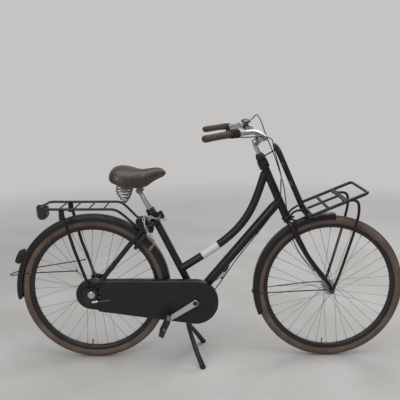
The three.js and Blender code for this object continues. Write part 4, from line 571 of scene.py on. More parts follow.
# %% Leather and grips
def hide_finish(name, slot, base, rubbed_and_highlight, cells, rough, coat, depth):
    tree, shader, dusty, surface, bump = finish(name, slot, base, DUST, 0.1, rough, grain=900, depth=depth,
                                                coat=coat)
    spot = node(tree, "TexCoord").outputs["Object"]
    wobble = node(tree, "TexNoise", Vector=spot, Scale=cells * 0.4, Detail=2.0).outputs["Color"]
    pushed = node(tree, "VectorMath", "MULTIPLY_ADD", i0=wobble, i1=(0.004, 0.004, 0.004), i2=spot).outputs[0]
    skin = node(tree, "TexVoronoi", Vector=pushed, Scale=cells)
    skin.feature = "DISTANCE_TO_EDGE"
    fold = node(tree, "MapRange", i0=skin.outputs["Distance"], i1=0.0, i2=0.16, i3=0.0, i4=1.0).outputs[0]
    # A broad noise lays paler patches: partly rubbed leather, partly painted highlight.
    rubbed_and_highlight_noise = node(tree, "TexNoise", Vector=spot, Scale=17.0, Detail=6.0).outputs[0]
    worn = node(tree, "MapRange", i0=rubbed_and_highlight_noise, i1=0.45, i2=0.7, i3=0.0, i4=0.85).outputs[0]
    tone = mixed(tree, worn, dusty.outputs["Colour"], colour(*rubbed_and_highlight))
    # The folds are mixed toward a third of the base colour: painted shade in the folds.
    low = node(tree, "MapRange", i0=fold, i1=0.0, i2=1.0, i3=0.55, i4=0.0).outputs[0]
    tree.links.new(mixed(tree, low, tone, colour(base[0] * 0.35, base[1] * 0.35, base[2] * 0.35)),
                   shader.inputs["Base Color"])
    high = node(tree, "Math", "MULTIPLY_ADD", i0=surface.outputs["Height"], i1=0.3, i2=fold).outputs[0]
    tree.links.new(high, bump.inputs["Height"])
    bump.inputs["Distance"].default_value = 0.0003


hide_finish("saddle_leather", "brown_leather", (0.034, 0.0185, 0.014), (0.085, 0.054, 0.042), 420,
            (0.26, 0.42), 0.3, 0.4)
hide_finish("grip_rubber", "brown_grip", (0.058, 0.04, 0.031), (0.1, 0.075, 0.058), 900, (0.6, 0.78), 0.0,
            0.5)
finish("saddle_thread", "brown_leather", (0.16, 0.115, 0.09), DUST, 0.1, (0.6, 0.8), grain=2500, depth=0.8)
print("leather, grip and thread are ready")

# %% [markdown]
# A reflector is a clear sheet over rows of small corners that throw light back. The rows are a fine grid of
# bumps under a clear coat. The lamp's lens is the same red finish. The white band on the step-through tube is a
# plain film with a little dust in patches.

# %% Lenses and film
def lens_finish(name, slot, base, pitch):
    tree, shader, dusty, surface, bump = finish(name, slot, base, DUST, 0.08, (0.14, 0.24), coat=0.8,
                                                grain=400,
                                                depth=0.6)
    spot = node(tree, "TexCoord").outputs["Object"]
    split = node(tree, "SeparateXYZ", Vector=spot).outputs
    heights = []
    for axis in ("Y", "Z"):
        count = node(tree, "Math", "MULTIPLY", i0=split[axis], i1=1 / pitch).outputs[0]
        heights.append(node(tree, "Math", "PINGPONG", i0=count, i1=0.5).outputs[0])
    ribs = node(tree, "Math", "ADD", i0=heights[0], i1=heights[1]).outputs[0]
    tree.links.new(ribs, bump.inputs["Height"])
    bump.inputs["Distance"].default_value = 0.0008


lens_finish("red_lens", "red_plastic", (0.085, 0.006, 0.005), 0.0035)
lens_finish("amber_lens", None, (0.34, 0.26, 0.15), 0.003)
finish("white_film", None, (0.66, 0.66, 0.64), (0.3, 0.27, 0.23), 0.25, (0.35, 0.5), grain=900, depth=0.05)
# A pale plastic for the strip along the rear lamp's top: a painted highlight.
finish("painted_highlight_plastic", None, (0.55, 0.55, 0.54), DUST, 0.2, (0.3, 0.45), grain=900, depth=0.1)
print(len(FINISHES), "finishes in all")

# %% [markdown]
# ## The frame tubes
# The head tube is turned, with a cup pressed in at each end. The step-through tube sweeps down in one bend,
# and the thick down tube runs straight to the bottom bracket. Where two tubes meet, the welder leaves a bead.
# Its path is where the small tube's lines run into the big one, so each line is followed until it reaches
# that radius.

# %% Weld beads
BEAD_SIDES = 6


def weld(piece, start, along, radius, centre, axis, host, kind=0, sides=36, thickness=2.0):
    side = along.orthogonal().normalized()
    over = along.cross(side)
    ring = []
    for k in range(sides):
        turn = 2 * math.pi * k / sides
        place = start + (side * math.cos(turn) + over * math.sin(turn)) * radius
        gap = place - centre
        flat_gap = gap - axis * gap.dot(axis)
        flat_way = along - axis * along.dot(axis)
        a, b, c = flat_way.dot(flat_way), 2 * flat_gap.dot(flat_way), flat_gap.dot(flat_gap) - host * host
        root = b * b - 4 * a * c
        if root < 0 or a < 1e-6:
            continue
        ring.append(place + along * ((-b - math.sqrt(root)) / (2 * a)))
    if len(ring) < 8:
        return
    rings = []
    for i, place in enumerate(ring):
        ahead = (ring[(i + 1) % len(ring)] - ring[i - 1]).normalized()
        out = ahead.orthogonal().normalized()
        rest = ahead.cross(out)
        rings.append([place + (out * math.cos(t) + rest * math.sin(t)) * thickness
                      for t in turns(BEAD_SIDES)])
    lined = [rings[0]]
    corners = range(BEAD_SIDES)
    for now in rings[1:]:
        shifts = [sum((now[(k + s) % BEAD_SIDES] - lined[-1][k]).length for k in corners) for s in corners]
        best = shifts.index(min(shifts))
        lined.append([now[(k + best) % BEAD_SIDES] for k in corners])
    piece.skin(lined, kind, caps=True)


print("weld beads are ready")

# %% Head tube
head = Piece()
head.turned([(13.5, 400.5), (22, 400), (23, 401), (23, 409), (21.5, 411.5), (19, 412.5), (19, 420), (19, 662),
             (19.2, 667), (22, 669), (24, 670), (25, 671.5), (25, 700), (23.8, 709), (22.5, 709.7),
             (13.5, 709.5)],
            HEAD_FOOT, HEAD_UP, closed=True, sides=56)
for seam in (670.5, 690):
    head.turned([(25, seam - 1.2), (25.5, seam), (25, seam + 1.2), (24, seam)], HEAD_FOOT, HEAD_UP,
                closed=True)
head.keep("head_tube_smooth", "powder_black", "frame", "head_tube")

# %% Step-through tube and its plain white band
TOP_STEPS = 200
top_head, top_seat = on_head(660), on_seat(160)
pulls = [Vector((top_head.x + (top_seat.x - top_head.x) * run, 0,
                 top_head.z + (top_seat.z - top_head.z) * drop))
         for run, drop in ((0.18, 0.52), (0.26, 0.62))]
curve = []
for k in range(TOP_STEPS + 1):
    s = k / TOP_STEPS
    near = top_head * (1 - s) ** 3 + pulls[0] * 3 * s * (1 - s) ** 2
    far = pulls[1] * 3 * s * s * (1 - s) + top_seat * s**3
    curve.append(near + far)
top_line = evenly(curve, 90)
top = Piece()
top.bar([p for p in top_line if (p - HEAD_FOOT).dot(HEAD_UP) < 652], TOP_RADIUS, sides=40)
weld(top, top_line[12], (top_line[2] - top_line[12]).normalized(), TOP_RADIUS, HEAD_FOOT, HEAD_UP,
     HEAD_RADIUS + WELD_LIFT)
seat_side = Vector((70, 0, 42))
weld(top, top_seat + seat_side, -seat_side.normalized(), TOP_RADIUS, BRACKET, SEAT_UP, 17.8)
top.keep("step_through_tube", "powder_black", "frame", "top_tube")
band_line = [p for p in top_line if 533 < p.x < 615]
band = Piece()
band.bar(band_line, TOP_RADIUS + 0.25, sides=56, blunt=False)
band.keep("white_band", "white_film", "frame")

# %% Down tube with its two cable bosses
down_start, down_end = on_head(496), BRACKET
down_way = (down_end - down_start).normalized()
under = Vector((-down_way.z, 0, down_way.x))
down = Piece()
down_line = [down_start + down_way * reach for reach in (2, 16, 30, 48)] + [down_end - down_way * 12]
down.bar(down_line, [17.5, 18.6, 21, DOWN_RADIUS, DOWN_RADIUS], sides=44)
for share in (0.3, 0.7):
    seat = down_start.lerp(down_end, share)
    down.turned([(0.1, 15), (7.5, 15), (7.5, 23), (5, 24.5), (5, 28.6), (4.2, 29.5), (2, 29.5), (0.1, 27.5)],
                seat, under,
                sides=28)
weld(down, down_start + down_way * 80, -down_way, HEAD_RADIUS, HEAD_FOOT, HEAD_UP, HEAD_RADIUS + WELD_LIFT)
weld(down, down_end - down_way * 60, down_way, DOWN_RADIUS, BRACKET, LEFT, SHELL_RADIUS + WELD_LIFT)
down.keep("down_tube_smooth", "powder_black", "frame", "down_tube")

# %% Seat tube, bottom bracket shell and seat clamp
seat = Piece()
seat.turned([(14.7, 95), (17.5, 95), (17.5, 110), (17.5, 473), (17, 474), (14.7, 474)], BRACKET, SEAT_UP,
            closed=True)
seat.bar([on_seat(8), on_seat(100)], SEAT_RADIUS, sides=40)
seat.turned([(17.2, -35), (19.4, -35), (20, -34), (20, 34), (19.4, 35), (17.2, 35)], BRACKET, LEFT,
            closed=True)
for side in (-1, 1):
    seat.turned([(9.6, side * 27), (17.1, side * 27), (17.1, side * 34.4), (15.5, side * 34.6),
                 (9.6, side * 34.2)],
                BRACKET, LEFT, closed=True)
weld(seat, on_seat(60), -SEAT_UP, SEAT_RADIUS, BRACKET, LEFT, SHELL_RADIUS + WELD_LIFT)
seat.keep("seat_tube_smooth", "powder_black", "frame", "seat_tube")
clamp = Piece()
clamp.turned([(17.8, 447), (21.4, 447), (22, 448), (22, 495), (21.4, 496), (14.7, 496), (14.7, 474.4),
              (17.8, 474.4)],
             BRACKET, SEAT_UP, closed=True)
clamp.turned([(22, 466), (23, 468), (23, 476), (22, 478)], BRACKET, SEAT_UP, closed=True)
seat_across = Vector((SEAT_UP.z, 0, -SEAT_UP.x))
middle = on_seat(443.5)
clamp_bolt = middle + seat_across * 30
for side in (-1, 1):
    clamp.block(clamp_bolt + seat_across + LEFT * side * 6.4, (30, 9, 37), 25.7, edge=2.5)
clamp.rod(4, -14, 14, clamp_bolt, LEFT, 1)
clamp.turned([(0.1, -22), (5, -22), (6.4, -20), (6.4, -14), (0.1, -14)], clamp_bolt, LEFT, 1, sides=6)
clamp.turned([(0.1, 14), (6.2, 14), (6.4, 16), (5.4, 21), (0.1, 22)], clamp_bolt, LEFT, 1, sides=32)
clamp.keep("seat_clamp_smooth", ["powder_black", "hard_steel"], "frame", "seat_clamp")

# %% [markdown]
# Each side of the rear triangle is a chain stay and a seat stay that end in a flat dropout plate. The stays
# run straight from the dropout, then bend in toward the seat tube. A short bridge between the chain stays
# carries the mudguard.

# %% Rear triangle
CHAIN_STAY = [(479, 24, 312), (421, 34.5, 317), (380, 38.5, 321), (300, 44, 329), (24, 64.5, 356)]
SEAT_STAY = [(12, 64.5, 374), (255, 57.5, 671), (292, 54, 688), (326, 10, 692)]
DROPOUT = [(-30, 366), (-30, 404), (-6, 414), (40, 404), (52, 368), (38, 344), (-12, 340)]
for side, name in ((-1, "right"), (1, "left")):
    stays = Piece()
    chain_stay = flowing(route(CHAIN_STAY, side), 40)
    stays.bar(chain_stay, [CHAIN_STAY_RADIUS + (0 if i > 3 else 0.2) for i in range(41)], sides=24)
    stays.bar(cornered(route(SEAT_STAY, side), 18), SEAT_STAY_RADIUS, sides=24)
    stays.plate(DROPOUT, *across(side, 63, 69), edge=1.2)
    if side < 0:
        bridge = around(REAR_AXLE, 382.9, -5)
        stays.rod(6.2, -34, 34, bridge, LEFT)
    body = stays.keep("stays_" + name, "powder_black", "frame", "rear_triangle_" + name)
    cut_away(body, rod_room(AXLE_HOLE, -90, 90, REAR_AXLE))

# %% [markdown]
# ## Wheels
# A wheel is five things on one axle: tyre, rim, hub, thirty-six spokes and a valve. The tyre is a ring with
# three shallow grooves around its running face. The spokes leave the hub's flanges in both directions and
# cross, which is how they pull the hub round, and each ends in a nipple that sits in the rim.

# %% Tyre, rim and valve
def tyre_profile():
    centre, size, base = 334.5, 23.5, 317.8
    spread = math.acos((base - centre) / size)
    profile = []
    for k in range(61):
        turn = -spread + 2 * spread * k / 60
        aside = abs(size * math.sin(turn))
        groove = 1.2 if turn and (aside < 1.2 or 5.6 < aside < 7.6) and abs(turn) < 1.3 else 0
        swell = 0.25 if 1.25 < abs(turn) < 1.4 else 0
        profile.append((centre + (size - 0.3 - groove + swell) * math.cos(turn),
                        (size - 0.3 - groove) * math.sin(turn)))
    return profile


def make_tyre_and_rim(wheel, axle):
    tyre = Piece()
    tyre.turned(tyre_profile(), axle, LEFT, closed=True, sides=180)
    tyre.keep(wheel + "_tyre_treaded", wheel + "_tyre_brown", wheel + "_wheel", wheel + "_tyre")
    rim = Piece()
    rim.turned([(317.4, -12.4), (316.8, -13), (313, -13), (308, -12.2), (302.5, -9.6), (299.4, -6.4),
                (299, -4),
                (299, 4), (299.4, 6.4), (302.5, 9.6), (308, 12.2), (313, 13), (316.8, 13), (317.4, 12.4)],
               axle, LEFT, closed=True, sides=180)
    rim.keep(wheel + "_rim_smooth", "rim_black", wheel + "_wheel", wheel + "_rim")
    valve = Piece()
    inward = (around(axle, 1, 265) - axle).normalized()
    foot = axle + inward * 300
    valve.turned([(0.1, 0), (5, 0), (5, 2), (3.1, 2.6), (3.1, 16), (3.9, 16.5), (3.9, 26), (3, 28),
                  (0.1, 28.4)],
                 foot, -inward, sides=24)
    valve.keep(wheel + "_valve", "hard_steel", wheel + "_wheel")


make_tyre_and_rim("rear", REAR_AXLE)
make_tyre_and_rim("front", FRONT_AXLE)

# %% Hubs and spokes
def make_hub(wheel, axle, right, left, flange, shell, neck, inset, driver=None):
    low, high = -right + inset, left - inset
    hub = Piece()
    hub.turned([(5.6, -right), (neck - 0.8, -right), (neck, 0.8 - right), (neck, low - 1),
                (flange - 1, low - 0.2),
                (flange, low + 1), (flange, low + 4), (flange - 1, low + 5), (shell + 2, low + 6),
                (shell, low + 9),
                (shell, high - 9), (shell + 2, high - 6), (flange - 1, high - 5), (flange, high - 4),
                (flange, high - 1), (flange - 1, high + 0.2), (neck, high + 1), (neck, left - 0.8),
                (neck - 0.8, left), (5.6, left)], axle, LEFT, closed=True, sides=64)
    if driver:
        hub.turned([(5.6, -56), (15, -56), (16, -55), (16, low), (5.6, low)], axle, LEFT, closed=True)
    hub.keep(wheel + "_hub_shell", "dull_aluminium", wheel + "_wheel", wheel + "_hub")
    spokes = Piece()
    for i in range(36):
        flange_side = low + 2.5 if i % 2 == 0 else high - 2.5
        way = 1 if i % 4 < 2 else -1
        angle = 10 * i - 0.3
        start = around(axle, flange - 4, angle + way * 60, flange_side + way * 2.4)
        end = around(axle, 297.8, angle, 0)
        line = [start, start.lerp(end, 0.02), start.lerp(end, 0.952), start.lerp(end, 0.956), end]
        spokes.bar(line, [1.1, 1.05, 1.05, 1.9, 2.1], sides=8, blunt=False)
        head_way = LEFT * (way if flange_side > 0 else -way)
        spokes.rod(2.0, -1, 1.2, start, head_way, sides=10, edge=0.5)
    spokes.keep(wheel + "_spokes", "spoke_steel", wheel + "_wheel")


make_hub("rear", REAR_AXLE, 44, 52, 36, 29, 15, 6, driver=True)
make_hub("front", FRONT_AXLE, 44, 30, 28.5, 19, 13, 8)

# %% [markdown]
# The axles don't turn. Each carries cones, washers and a nut at each end, and the front one also holds the
# brake's back plate with its arm along the left blade. Nuts are six-sided, with the corners turned off on the
# outer face.

# %% Axles and nuts
def nut(piece, centre, axis, start, radius=9, height=8, kind=0):
    piece.turned([(0.1, start), (radius - 0.9, start), (radius - 0.4, start + 0.6),
                  (radius - 0.4, start + height - 1.6),
                  (radius - 1.8, start + height), (0.1, start + height)], centre, axis, kind, sides=6)
    piece.turned([(0.1, start), (radius, start), (radius, start + 1.4), (0.1, start + 1.4)], centre, axis,
                 kind)


rear = Piece()
rear.rod(AXLE_RADIUS, -77.6, 77.6, REAR_AXLE, LEFT)
for way, hub_end in ((-1, 56.3), (1, 52.3)):
    rear.rod(CONE_RADIUS, *across(way, 62.7, hub_end), REAR_AXLE, LEFT, sides=40)
    nut(rear, REAR_AXLE, LEFT * way, 69.4)
rear.keep("rear_axle_with_nuts", "hard_steel", "frame", "rear_axle")
front = Piece()
front.rod(AXLE_RADIUS, -91.4, 91.4, FRONT_AXLE, LEFT)
for way, hub_end in ((-1, 44.3), (1, 30.3)):
    for near, far in ((49.7, hub_end), (55.4, 73.6)):
        front.rod(CONE_RADIUS, *across(way, near, far), FRONT_AXLE, LEFT, sides=40)
    nut(front, FRONT_AXLE, LEFT * way, 83.4)
front.turned([(9, 31.4), (25, 31.4), (26.8, 33), (26.8, 37), (24, 39.6), (18, 40.2), (16, 38.8), (9, 38.8)],
             FRONT_AXLE, LEFT, closed=True, sides=56)
arm_start, arm_end = around(FRONT_AXLE, 14, 127, 37.8), around(FRONT_AXLE, 92, 127, 37.8)
arm_way = (arm_end - arm_start).normalized()
arm_side = arm_way.cross(LEFT)
ARM = [(0, -8.6), (70, -6.5), (78, -3), (78, 3), (70, 6.5), (0, 8.6)]
arm = [arm_start + arm_way * a + arm_side * b for a, b in ARM]
front.plate([(p.x, p.z) for p in arm], 35.6, 40.1, edge=1)
front.keep("front_axle_with_brake_plate", "hard_steel", "steering", "front_axle")

# %% [markdown]
# ## Mudguards
# A mudguard is one curved section swept around the wheel. Its crown is rounded, its sides drop over the tyre,
# and its edges are rolled inward so they aren't sharp. Toward the free end the sides get lower and the sheet
# narrows to a rounded tip.

# %% Mudguard sheet
GUARD_SIDES = [(1, 1), (0.995, 0.8), (0.985, 0.55), (0.965, 0.3), (0.9, 0.16), (0.78, 0.085), (0.6, 0.04),
               (0.3, 0.01),
               (0, 0)]
SHEET = 1.4
BEAD_RADIUS = 1.5
SHEET_STEPS, TIP_STEPS = 96, 12
TIP_ANGLE = 8
TIP_SHARES = [(0, 0.3), (0.5, 0.52), (1.3, 0.7), (2.67, 0.82), (5.33, 0.95), (8, 1.0)]


def tip_share(degrees_left):
    for (a, low), (b, high) in zip(TIP_SHARES, TIP_SHARES[1:]):
        if degrees_left < b:
            return low + (high - low) * (degrees_left - a) / (b - a)
    return 1.0


def make_mudguard(name, body, node_name, axle, radius, half, skirt, tip_skirt, spread, start, end):
    rings, beads = [], {-1: [], 1: []}
    angles = [start + (end - TIP_ANGLE - start) * k / SHEET_STEPS for k in range(SHEET_STEPS + 1)]
    angles += [end - TIP_ANGLE + TIP_ANGLE * k / TIP_STEPS for k in range(1, TIP_STEPS + 1)]
    for angle in angles:
        share = (angle - start) / (end - start)
        size = radius + spread * max(2 * share - 1, 0)
        wide = tip_share(end - angle)
        deep = (1 - (1 - tip_skirt) * share) * wide
        outer = [(-w * half * wide, d * skirt * deep) for w, d in GUARD_SIDES]
        outer += [(-y, d) for y, d in outer[-2::-1]]
        inner = [(y * (1 - SHEET / half), d + SHEET * (1 - d / (skirt + 1))) for y, d in outer][::-1]
        rings.append([around(axle, size - d, angle, y) for y, d in outer + inner])
        for side in (-1, 1):
            beads[side].append(around(axle, size - skirt * deep + 0.8, angle, side * (half * wide - 1)))
    sheet = Piece()
    sheet.skin(rings)
    for side in (-1, 1):
        sheet.bar(beads[side], BEAD_RADIUS, sides=8)
    sheet.keep(name, "powder_black", body, node_name)


make_mudguard("rear_mudguard_sheet", "frame", "rear_mudguard", REAR_AXLE, 376.5, 29, 31, 0.95, 7, -5, 188)
make_mudguard("front_mudguard_sheet", "steering", "front_mudguard", FRONT_AXLE, 372, 29, 30, 0.95, 0, 87, 203)

# %% Mudguard stays
def make_stay(name, body, node_name, points, apex, clip):
    half = route(points)
    wire = Piece()
    wire.bar(cornered(half + [Vector(apex)] + mirrored(half)[::-1], 12), 2.7, sides=14)
    for side in (-1, 1):
        foot = Vector((points[0][0], side * points[0][1], points[0][2]))
        way = (Vector((points[1][0], side * points[1][1], points[1][2])) - foot).normalized()
        wire.rod(5, -2, 9, foot, way, 1, sides=20, edge=1.2)
        hold = Vector((clip[0], side * clip[1], clip[2]))
        wire.rod(4.2, -4, 4, hold, LEFT, 1, sides=20, edge=1)
    wire.keep(name, ["powder_black", "hard_steel"], body, node_name)


make_stay("rear_mudguard_wire", "frame", "rear_mudguard_stay",
          [(-62, 90, 478), (-287, 44, 455), (-345, 31.6, 447), (-377, 31.6, 441), (-404, 20, 435)],
          (-418, 0, 432),
          (-300, 41, 453.4))
make_stay("front_mudguard_wire", "steering", "front_mudguard_stay",
          [(1141, 60, 362), (1060, 58, 359), (850, 40, 342), (806, 34, 338), (779, 31.6, 336.2)],
          (775.1, 0, 335),
          (850, 40, 342))

# %% [markdown]
# ## Racks and carrier
# The rear rack is one bent tube that starts at the seat stays, runs back along both sides and closes behind.
# Thin rods cross it, and two legs with flat plates carry it at the dropouts.

# %% Rear rack
RACK = [(250, 71.6, 672), (211, 72, 701), (173, 80, 740), (133, 91, 775), (-150, 91, 777), (-222, 91, 779)]
rack = Piece()
rack_side = route(RACK)
rack.bar(cornered(rack_side + mirrored(rack_side)[::-1], 42, 12), 6, sides=22)
for x in (-134, -65, 5, 75):
    rack.rod(3.6, -90, 90, Vector((x, 0, 775)), LEFT, sides=18)
for side in (-1, 1):
    leg = cornered(route([(-120, 91, 771), (-73, 80, 578), (-41, 82, 482), (-16, 75.8, 402)], side), 22)
    rack.bar(leg, 7.5, sides=22)
    rack.block(Vector((-120, side * 91, 748)), (26, 5, 46), edge=1.6)
    for x, z in ((-112, 738), (-128, 758)):
        rack.rod(3.4, -4.4, 4.4, Vector((x, side * 91, z)), LEFT, 1, sides=6)
rack.keep("rear_rack_tubes", ["powder_black", "hard_steel"], "frame", "rear_rack")

# %% [markdown]
# The front carrier turns with the fork. Its tall back frame leans along the head tube, and its platform is a
# loop of the same tube with flat cross bars, held by two long legs that end in eyes on the front axle. Cross
# bars are flat strips, so they are blocks with soft edges.

# %% Carrier back frame
HALF, BACK_TOP, BACK_LOW, BACK_OFFSET = 80, 744, 388, 88
legs = [on_head(BACK_LOW, BACK_OFFSET, HALF), on_head(BACK_TOP, BACK_OFFSET, HALF)]
legs += [on_head(BACK_TOP, BACK_OFFSET, -HALF), on_head(BACK_LOW, BACK_OFFSET, -HALF)]
back = Piece()
back.bar(cornered(legs, 38, 12), CARRIER_RADIUS, sides=24)
for share in (0.27, 0.55):
    seat = on_head(BACK_TOP + (BACK_LOW - BACK_TOP) * share, BACK_OFFSET)
    back.block(seat, (15 * (1 + share), 2 * HALF, 7), 113.5, edge=2.4)
back.rod(CARRIER_RADIUS, -HALF, HALF, on_head(BACK_LOW, BACK_OFFSET), LEFT)
back.turned([(13.1, 711), (20.6, 711), (22, 713), (22, 729), (20.6, 731), (18.4, 737), (17.6, 741),
             (16.5, 742),
             (13.1, 742)], HEAD_FOOT, HEAD_UP, closed=True, sides=56)
for k in range(6):
    spin = Quaternion(HEAD_UP, math.radians(60 * k)) @ HEAD_AHEAD
    back.rod(1.7, 20.6, 22.6, on_head(721), spin, 1, sides=12, edge=0.4)
back.bar([on_head(721, 18), on_head(716, BACK_OFFSET, HALF)], 3.4, sides=14)
HOOK = [(990, 44, 751), (962, 30, 735), (954, 33, 720), (962, 36, 705), (982, 40, 700)]
for side in (-1, 1):
    back.bar(flowing([on_head(415, BACK_OFFSET, side * HALF)] + route(HOOK, side), 30), 5, sides=18)
back.keep("carrier_back_tubes", ["powder_black", "hard_steel"], "steering", "carrier_back_frame")

# %% Carrier platform
DECK_HALF = 150
REAR_EDGE, FRONT_EDGE = Vector((1032, DECK_HALF, 749)), Vector((1282, DECK_HALF, 851))
deck_foot = Vector((REAR_EDGE.x, 0, REAR_EDGE.z))
slope = math.degrees(math.atan2(FRONT_EDGE.z - REAR_EDGE.z, FRONT_EDGE.x - REAR_EDGE.x))
loop = [REAR_EDGE.lerp(FRONT_EDGE, 0.02), FRONT_EDGE]
deck = Piece()
deck.bar(cornered(loop + mirrored(loop)[::-1], 26, 12), CARRIER_RADIUS, sides=24)
deck.rod(CARRIER_RADIUS, -DECK_HALF, DECK_HALF, deck_foot, LEFT)
for share, wide in ((0.3, 7), (0.62, 11)):
    seat = REAR_EDGE.lerp(FRONT_EDGE, share)
    deck.block(Vector((seat.x, 0, seat.z)), (2 * wide, 2 * DECK_HALF, 7), slope, edge=2.4)
spine_end = REAR_EDGE.lerp(FRONT_EDGE, 0.62)
deck.bar([deck_foot, Vector((spine_end.x, 0, spine_end.z))], 6, sides=20)
LEG = [(1176, 102, 808), (1252, 102, 808), (1258, 102, 752), (1240, 100, 663), (1184, 90, 459),
       (1150, 78.5, 358)]
for side in (-1, 1):
    deck.bar(cornered(route(LEG, side), 34, 12), 6.4, sides=22)
    eye = [(5.5, side * 74.2), (10.2, side * 74.2), (11, side * 75), (11, side * 82), (10.2, side * 82.8),
           (5.5, side * 82.8)]
    deck.turned(eye, FRONT_AXLE, LEFT, closed=True)
deck.keep("carrier_platform_tubes", "powder_black", "steering", "carrier_platform")

# %% [markdown]
# ## Lamp, reflector and lock
# The rear lamp hangs behind the rack: a black housing in front and a red lens behind, with a pale strip along
# the top that is a painted highlight. The reflector sits on the mudguard. Both are plates with soft edges, and
# each lens is a plate of its own.

# %% Rear lamp and reflector
lamp = Piece()
lamp.plate([(-246, 713), (-249.5, 785), (-233, 787), (-229.4, 784), (-229.4, 772), (-210, 772), (-209, 730),
            (-220, 713)], -25, 25, edge=2.2, kind=0, rounds=3)
lamp.plate([(-258.4, 769), (-254.6, 782), (-247, 783), (-244, 716), (-247, 715.5), (-255.4, 726)], -22.5,
           22.5, edge=3,
           kind=1, rounds=4)
# The pale strip along the top of the lamp is a painted highlight.
lamp.plate([(-254, 783.6), (-252.6, 786.4), (-233, 787.8), (-230.4, 785.6), (-231, 783.8)], -22, 22,
           edge=0.8, kind=2)
lamp.keep("rear_lamp_with_lens", ["satin_plastic", "red_lens", "painted_highlight_plastic"], "frame", "rear_lamp")
reflector = Piece()
outline = [around(REAR_AXLE, 384.5, angle) for angle in (160, 157, 154, 151, 149)]
outline += [around(REAR_AXLE, 400, 149.2), around(REAR_AXLE, 406, 151), around(REAR_AXLE, 409.5, 154),
            around(REAR_AXLE, 410, 158), around(REAR_AXLE, 409, 160)]
reflector.plate([(p.x, p.z) for p in outline], -15, 15, edge=2.4, kind=0, rounds=3)
lens = [around(REAR_AXLE, size, angle) for size,
        angle in ((409.6, 150.6), (411.4, 153), (412.2, 156), (411.4, 159))]
lens += [around(REAR_AXLE, 405, 159.4), around(REAR_AXLE, 403, 151)]
reflector.plate([(p.x, p.z) for p in lens], -11, 11, edge=1, kind=1)
reflector.keep("rear_reflector_with_lens", ["satin_plastic", "red_lens"], "frame", "rear_reflector")

# %% [markdown]
# The ring lock is a horseshoe housing around the wheel with a body on top. Its bolt is a bent steel rod that
# slides round inside, so it gets its own piece on its own body, with the knob that closes it. The plug-in
# chain is a row of oval links, each a quarter turn from the next. A link is a small bar swept around an oval.

# %% Ring lock
LOCK_CENTRE = Vector((237.1, 0, 610.7))
LOCK_LEAN = math.radians(57)
LOCK_RADIUS = 56
KNOB_ANGLE = -106
LOCK_DOWN = Vector((-math.cos(LOCK_LEAN), 0, -math.sin(LOCK_LEAN)))
LOCK_OUT = Vector((math.sin(LOCK_LEAN), 0, -math.cos(LOCK_LEAN)))


def lock_place(radius, degrees):
    angle = math.radians(degrees)
    return LOCK_CENTRE + LOCK_DOWN * radius * math.cos(angle) - LEFT * radius * math.sin(angle)


def lock_arc(radius, start, end, steps):
    return [lock_place(radius, start + (end - start) * k / steps) for k in range(steps + 1)]


SECTION = [(-9, -5), (-7.5, -6.75), (7.5, -6.75), (9, -5), (9, 5), (7.5, 6.75), (-7.5, 6.75), (-9, 5)]
housing = Piece()
rings = []
for place in lock_arc(56.75, 31, 329, 72):
    out = (place - LOCK_CENTRE).normalized()
    rings.append([place + LOCK_OUT * u + out * v for u, v in SECTION])
housing.skin(rings)
housing.plate([(215, 712), (263, 716), (303, 660), (293, 639), (219, 684)], -40, 40, edge=6, rounds=4)
for side in (-1, 1):
    housing.block(Vector((252, side * 46, 672)), (22, 20, 18), 64.3, edge=2.5)
housing.turned([(0.1, 0), (9, 0), (9, 2), (7, 3), (0.1, 3)], Vector((284.5, -12, 686)),
               Vector((0.81, 0, 0.59)), 1)
lock_body = housing.keep("ring_lock_housing", ["satin_plastic", "hard_steel"], "frame", "ring_lock_body")
channel = Piece()
channel.skin([[place + (LOCK_OUT * math.cos(t) + (place - LOCK_CENTRE).normalized() * math.sin(t)) * 4.8
               for t in turns(14)] for place in lock_arc(LOCK_RADIUS, 0, 355, 71)])
slot = Piece()
slot_rings = []
for place in lock_arc(64.5, -113, -33, 20):
    out = (place - LOCK_CENTRE).normalized()
    slot_rings.append([place + LOCK_OUT * u + out * v for u,
                       v in ((-5.2, -8.5), (5.2, -8.5), (5.2, 8.5), (-5.2, 8.5))])
slot.skin(slot_rings)
stay_room = tube_room(SEAT_STAY_RADIUS + 0.2, *[cornered(route(SEAT_STAY, side), 18) for side in (-1, 1)])
cut_away(lock_body, channel, slot, stay_room)

# %% Lock bolt
bolt = Piece()
bolt.bar(lock_arc(LOCK_RADIUS, -120, -32, 40), 3.9, sides=16)
bolt.bar([lock_place(LOCK_RADIUS, KNOB_ANGLE), lock_place(70, KNOB_ANGLE)], 3.4, sides=16)
bolt.turned([(0.1, 68), (4, 68), (5, 69.5), (5, 73), (0.1, 73.6)], LOCK_CENTRE,
            (lock_place(73, KNOB_ANGLE) - LOCK_CENTRE).normalized())
bolt.keep("ring_lock_bolt", "polished_aluminium", "lock_bolt", "ring_lock_shackle")

